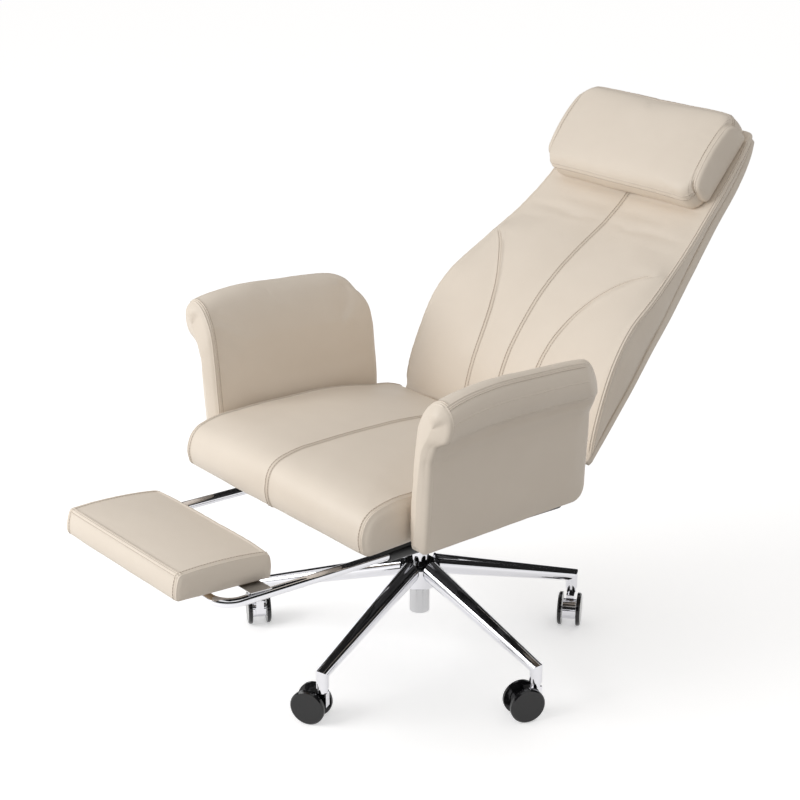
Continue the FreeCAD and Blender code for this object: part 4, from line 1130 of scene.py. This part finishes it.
def vary(tree, shader, socket, factor, low, high):
    """Feeds a shader socket a value or colour that goes from low to high with a factor."""
    colour = not isinstance(low, (int, float))
    node = tree.nodes.new("ShaderNodeMix" if colour else "ShaderNodeMapRange")
    if colour:
        node.data_type = "RGBA"
        node.inputs["A"].default_value = (*low, 1.0)
        node.inputs["B"].default_value = (*high, 1.0)
        tree.links.new(factor, node.inputs["Factor"])
    else:
        node.inputs["To Min"].default_value = low
        node.inputs["To Max"].default_value = high
        tree.links.new(factor, node.inputs["Value"])
    tree.links.new(node.outputs["Result"], shader.inputs[socket])


def bump(tree, shader, height, strength, distance):
    """Bump node that tilts the shader's normals by a height, whose full step is a distance in metres."""
    node = tree.nodes.new("ShaderNodeBump")
    node.inputs["Strength"].default_value = strength
    node.inputs["Distance"].default_value = distance
    tree.links.new(height, node.inputs["Height"])
    tree.links.new(node.outputs["Normal"], shader.inputs["Normal"])


# %% [markdown]
# ## Leather and thread
# The leather is ivory, smooth and a little glossy, with pores that show only close by. One
# flat colour would look like plastic, so broad blotches vary its colour and its gloss, and
# a fine bump gives it pebbles. The thread is a darker beige, painted darker still with the
# shade of its groove and needle holes; it is dull, and shows its twist.

# %% Leather and thread
LEATHER_PALE = (0.800, 0.716, 0.615)
LEATHER_DEEP = (0.742, 0.655, 0.555)
# Both thread colours hold painted shade: they are darker than the thread, like the shade of the groove and
# needle holes it lies in.
THREAD_DARK_PAINTED_SHADE = (0.25, 0.185, 0.135)
THREAD_PALE_PAINTED_SHADE = (0.40, 0.310, 0.235)


def leather_finish():
    """Smooth ivory leather with a fine pebbled grain and a soft sheen."""
    material, tree, shader = new_finish("ivory_leather", Specular_IOR_Level=0.42, Coat_Weight=0.06,
                                        Coat_Roughness=0.35)
    grain = place_group(tree, GRAIN, GRAIN_SCALE)
    vary(tree, shader, "Base Color", grain.outputs["Blotch"], LEATHER_PALE, LEATHER_DEEP)
    vary(tree, shader, "Roughness", grain.outputs["Blotch"], 0.44, 0.56)
    bump(tree, shader, grain.outputs["Height"], 0.22, 0.00035)
    return material


def thread_finish():
    """Waxed sewing thread, darker than the leather, with painted shade of its groove and needle holes in its
    colour, and the twist of its strands.
    """
    material, tree, shader = new_finish("beige_thread_with_painted_shade", Roughness=0.7)
    twist = texture(tree, "ShaderNodeTexWave", 900.0, Distortion=1.0)
    vary(tree, shader, "Base Color", twist.outputs["Fac"], THREAD_DARK_PAINTED_SHADE, THREAD_PALE_PAINTED_SHADE)
    bump(tree, shader, twist.outputs["Fac"], 0.4, 0.0002)
    return material


# %% [markdown]
# ## Metal, plastic, cloth and plywood
# The base and the sliding frame are chromed, the wheels and grips are black plastic, hidden
# steel is lacquered, and black cloth lines the seat from below. Each could have a material
# of its own, but one function for the metals and one for the black finishes keep them
# alike, and only colour, gloss and bump change from one to the next.

# %% Metal, plastic, cloth and plywood
PLY_DARK, PLY_PALE = (0.42, 0.27, 0.14), (0.66, 0.48, 0.29)
PLY_STRETCH = (70.0, 4.0, 240.0)


def metal_finish(name, colour, rough_low, rough_high):
    """Bare or plated metal: mirror-like, with smudges and hair scratches in its roughness."""
    material, tree, shader = new_finish(name, Metallic=1.0, Base_Color=(*colour, 1.0))
    wear = place_group(tree, WEAR, 70.0)
    vary(tree, shader, "Roughness", wear.outputs["Smudge"], rough_low, rough_high)
    bump(tree, shader, wear.outputs["Scratch"], 0.04, 0.0002)
    return material


def black_finish(name, colour, dusty, rough_low, rough_high, pitch, depth):
    """Black plastic, lacquer or cloth: a bump of a given pitch, with dust that lightens it in places."""
    material, tree, shader = new_finish(name, Specular_IOR_Level=0.5)
    wear = place_group(tree, WEAR, 90.0)
    vary(tree, shader, "Base Color", wear.outputs["Scratch"], colour, dusty)
    vary(tree, shader, "Roughness", wear.outputs["Smudge"], rough_low, rough_high)
    peel = texture(tree, "ShaderNodeTexNoise", pitch, Detail=2.0)
    bump(tree, shader, peel.outputs["Fac"], 0.25, depth)
    return material


def plywood_finish():
    """Birch plywood: noise that is stretched along the chair into grain, and pressed flat into plies."""
    material, tree, shader = new_finish("birch_plywood", Roughness=0.62)
    grain = tree.nodes.new("ShaderNodeTexNoise")
    place = tree.nodes.new("ShaderNodeTexCoord")
    stretch = tree.nodes.new("ShaderNodeMapping")
    stretch.inputs["Scale"].default_value = PLY_STRETCH
    tree.links.new(place.outputs["Object"], stretch.inputs["Vector"])
    tree.links.new(stretch.outputs["Vector"], grain.inputs["Vector"])
    grain.inputs["Scale"].default_value = 1.0
    grain.inputs["Detail"].default_value = 5.0
    vary(tree, shader, "Base Color", grain.outputs["Fac"], PLY_DARK, PLY_PALE)
    bump(tree, shader, grain.outputs["Fac"], 0.3, 0.0003)
    return material


FINISHES = {
    "leather": leather_finish(),
    "thread": thread_finish(),
    "chrome": metal_finish("chrome_plate", (0.76, 0.76, 0.79), rough_low=0.03, rough_high=0.10),
    "bare_steel": metal_finish("drawn_steel", (0.60, 0.60, 0.61), rough_low=0.16, rough_high=0.30),
    "black_plastic": black_finish("black_nylon", (0.012, 0.012, 0.013), dusty=(0.03, 0.03, 0.031),
                                  rough_low=0.22, rough_high=0.38, pitch=420.0, depth=0.0002),
    "gloss_black": black_finish("gloss_black_nylon", (0.008, 0.008, 0.009), dusty=(0.016, 0.016, 0.017),
                                rough_low=0.09, rough_high=0.18, pitch=300.0, depth=0.0001),
    "black_steel": black_finish("black_lacquer", (0.014, 0.014, 0.015), dusty=(0.035, 0.034, 0.033),
                                rough_low=0.35, rough_high=0.5, pitch=260.0, depth=0.0003),
    "black_lining": black_finish("black_lining_cloth", (0.010, 0.010, 0.010), dusty=(0.022, 0.021, 0.020),
                                 rough_low=0.8, rough_high=0.95, pitch=900.0, depth=0.0006),
    "plywood": plywood_finish(),
}
print("finishes", sorted(FINISHES))

# %% [markdown]
# ## Fitting the pieces to the frame
# On the real chair each cushion is screwed to a board or a steel strap and moves with it.
# Parenting by hand could do that, but here each leather piece hides the plain solid it
# replaces and is parented to an empty for the body it rides on. Its stitches ride along as its child.
# The rigid nodes keep their shape and get a finish.

# %% Cushions onto their bodies
def dress(piece, sewing, body, node, fill):
    """Leather and thread on, the plain node hidden, and everything made to move with the body."""
    piece.data.materials.append(FINISHES["leather"])
    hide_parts(node)
    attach(piece, body)
    if sewing is not None:
        sewing.data.materials.append(FINISHES["thread"])
        sewing.parent = piece


dress(seat, seat_stitching, "seat", "seat_cushion", 0.75)
dress(pad, pad_stitching, "footrest_pad_group", "footrest_pad", 0.8)
dress(back, back_stitching, "back", "back_cushion", 0.7)
dress(pillow, pillow_stitching, "back", "headrest_pillow", 0.75)
dress(*arms["left"], "seat", "arm_left", 0.8)
dress(*arms["right"], "seat", "arm_right", 0.8)
panel.data.materials.append(FINISHES["leather"])
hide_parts("back_panel")
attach(panel, "back")

# %% Finishes on the rigid nodes
NODE_FINISH = {
    "base_hub": "chrome", "base_leg": "chrome", "caster": "chrome", "gas_piston": "chrome",
    "footrest_frame": "chrome", "height_lever_rod": "chrome", "recline_lever_rod": "chrome",
    "column_tube": "bare_steel", "taper_socket": "bare_steel", "recline_pin": "bare_steel",
    "footrest_clamp": "bare_steel", "footrest_rest": "bare_steel",
    "mechanism_housing": "black_steel", "seat_plate": "black_steel", "arm_strap": "black_steel",
    "rail_guide": "black_steel", "back_mount": "black_steel", "back_bracket": "black_steel",
    "height_lever_grip": "black_plastic", "recline_lever_grip": "black_plastic",
    "column_bush": "gloss_black", "seat_pan": "black_lining", "footrest_board": "plywood",
}


def finish_of(node):
    """Name of a node's finish: wheels are glossy black, and the others go by how their names start.
    None for a node that leather replaces."""
    if "wheel" in node:
        return "gloss_black"
    return next((finish for start, finish in NODE_FINISH.items() if node.startswith(start)), None)


finished = 0
for node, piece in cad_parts.items():
    finish = finish_of(node)
    if finish is None:
        continue
    for slot in piece.material_slots:
        slot.material = FINISHES[finish]
    finished += 1
print(finished, "rigid nodes have a finish")

# %% [markdown]
# ## Floor and light
# A studio photograph on white has a big soft lamp in front of the chair, a weaker even
# light from all round, and a floor that is white to the camera. Stronger lamps could make
# the floor white, but they would bleach the leather, so the floor and the world are white
# only where the camera, mirrors and glass look. Chrome needs something dark to reflect, so
# a dark card hangs above the chair and a dark band stands round it, seen by mirrors alone.

# %% Nodes that the floor and the world share
def looked_at(tree):
    """Socket that is 1 where the camera, a mirror or glass looks, and 0 for light off matt surfaces."""
    path = tree.nodes.new("ShaderNodeLightPath")
    seen = math_node(tree, "MAXIMUM", path.outputs["Is Camera Ray"], path.outputs["Is Glossy Ray"])
    return math_node(tree, "MAXIMUM", seen, path.outputs["Is Transmission Ray"])


def coloured(tree, kind, colour, strength=None):
    """Shader node of a kind with its colour and, if given, its strength; gives its output socket."""
    node = tree.nodes.new(kind)
    node.inputs["Color"].default_value = (*colour, 1)
    if strength is not None:
        node.inputs["Strength"].default_value = strength
    return node.outputs[0]


def mix_by_look(tree, end_kind, unseen, seen):
    """Output node whose surface is one shader where it is looked at and another where it isn't."""
    mixed = tree.nodes.new("ShaderNodeMixShader")
    tree.links.new(looked_at(tree), mixed.inputs["Fac"])
    tree.links.new(unseen, mixed.inputs[1])
    tree.links.new(seen, mixed.inputs[2])
    tree.links.new(mixed.outputs[0], tree.nodes.new(end_kind).inputs["Surface"])


# %% Floor
FLOOR_REACH = 14.0
FLOOR_WHITE, FLOOR_GREY, FLOOR_GLOW = (0.92, 0.92, 0.92), (0.45, 0.44, 0.43), 0.41


def card_mesh(name, width, height):
    """Flat rectangle in X and Y."""
    corners = np.array(((-1, -1, 0), (1, -1, 0), (1, 1, 0), (-1, 1, 0))) * (width / 2, height / 2, 1)
    mesh = bpy.data.meshes.new(name)
    mesh.from_pydata(corners.tolist(), [], [(0, 1, 2, 3)])
    return mesh


def add_floor():
    """Large pale floor: white with a slight glow where it is looked at, which keeps the shadow, and
    grey where light bounces off it."""
    mesh = card_mesh("floor", 2 * FLOOR_REACH, 2 * FLOOR_REACH)
    floor = add_object("floor", mesh)
    material = bpy.data.materials.new("studio_floor")
    material.use_nodes = True
    tree = material.node_tree
    tree.nodes.clear()
    lit = tree.nodes.new("ShaderNodeAddShader")
    tree.links.new(coloured(tree, "ShaderNodeBsdfDiffuse", FLOOR_WHITE), lit.inputs[0])
    tree.links.new(coloured(tree, "ShaderNodeEmission", (1, 1, 1), FLOOR_GLOW), lit.inputs[1])
    grey = coloured(tree, "ShaderNodeBsdfDiffuse", FLOOR_GREY)
    mix_by_look(tree, "ShaderNodeOutputMaterial", grey, lit.outputs[0])
    mesh.materials.append(material)
    print(floor.name, 2 * FLOOR_REACH, "m wide")


add_floor()

# %% World
AMBIENT_COLOUR, AMBIENT_STRENGTH = (1.0, 0.99, 0.98), 0.63


def set_world():
    """Even light from all round for matt surfaces, and white for the camera, mirrors and glass."""
    world = bpy.data.worlds.new("studio")
    world.use_nodes = True
    tree = world.node_tree
    tree.nodes.clear()
    ambient = coloured(tree, "ShaderNodeBackground", AMBIENT_COLOUR, AMBIENT_STRENGTH)
    white = coloured(tree, "ShaderNodeBackground", (1, 1, 1), 1.0)
    mix_by_look(tree, "ShaderNodeOutputWorld", ambient, white)
    bpy.context.scene.world = world
    print("world", world.name, "with an even light of", AMBIENT_STRENGTH)


set_world()

# %% Lamp and dark cards
BAND_POINTS = 48
CARD_BLACK = (0.01, 0.01, 0.01, 1)


def aim(place, target):
    """Matrix of a lamp or card at a place, whose -Z looks at the target."""
    back = np.array(place, float) - np.array(target, float)
    back /= np.linalg.norm(back)
    right = np.cross((0, 0, 1), back)
    right = right / np.linalg.norm(right) if np.linalg.norm(right) > 1e-6 else np.array((1.0, 0, 0))
    return axes_matrix(right, back, place)


def add_lamp(name, place, target, width, height, power):
    """Rectangular lamp of a size in metres and a power in watts."""
    data = bpy.data.lights.new(name, "AREA")
    data.shape = "RECTANGLE"
    data.size = width
    data.size_y = height
    data.energy = power
    lamp = add_object(name, data)
    lamp.matrix_world = aim(place, target)
    print(lamp.name, power, "W")


def band_mesh(radius, low, high):
    """Upright band round the chair: a circle of points at each of two heights."""
    turn = np.arange(BAND_POINTS) * math.tau / BAND_POINTS
    ring = np.stack([radius * np.cos(turn), radius * np.sin(turn), low + 0 * turn], axis=1)
    verts = np.concatenate([ring, ring + (0, 0, high - low)])
    first = np.arange(BAND_POINTS)
    beside = (first + 1) % BAND_POINTS
    quads = np.stack([first, beside, beside + BAND_POINTS, first + BAND_POINTS], axis=1)
    mesh = bpy.data.meshes.new("band")
    mesh.from_pydata(verts.tolist(), [], quads.tolist())
    return mesh


def add_card(name, mesh, place):
    """Dark card that only mirrors can see."""
    card = add_object(name, mesh)
    card.matrix_world = place
    mesh.materials.append(new_finish(name + "_cloth", Base_Color=CARD_BLACK, Roughness=1.0)[0])
    card.visible_camera = False
    card.visible_diffuse = False
    card.visible_shadow = False
    card.visible_transmission = False
    print(card.name, [round(side, 2) for side in card.dimensions], "m")


add_lamp("front_softbox", (-1.3, -3.2, 2.0), target=(0, 0, 0.45), width=2.4, height=2.0, power=78)
add_card("card_above", card_mesh("card", 2.8, 2.8), aim((0.0, 0.2, 2.7), target=(0.0, 0.2, 0.0)))
add_card("card_round", band_mesh(radius=3.9, low=0.95, high=4.0), Matrix())
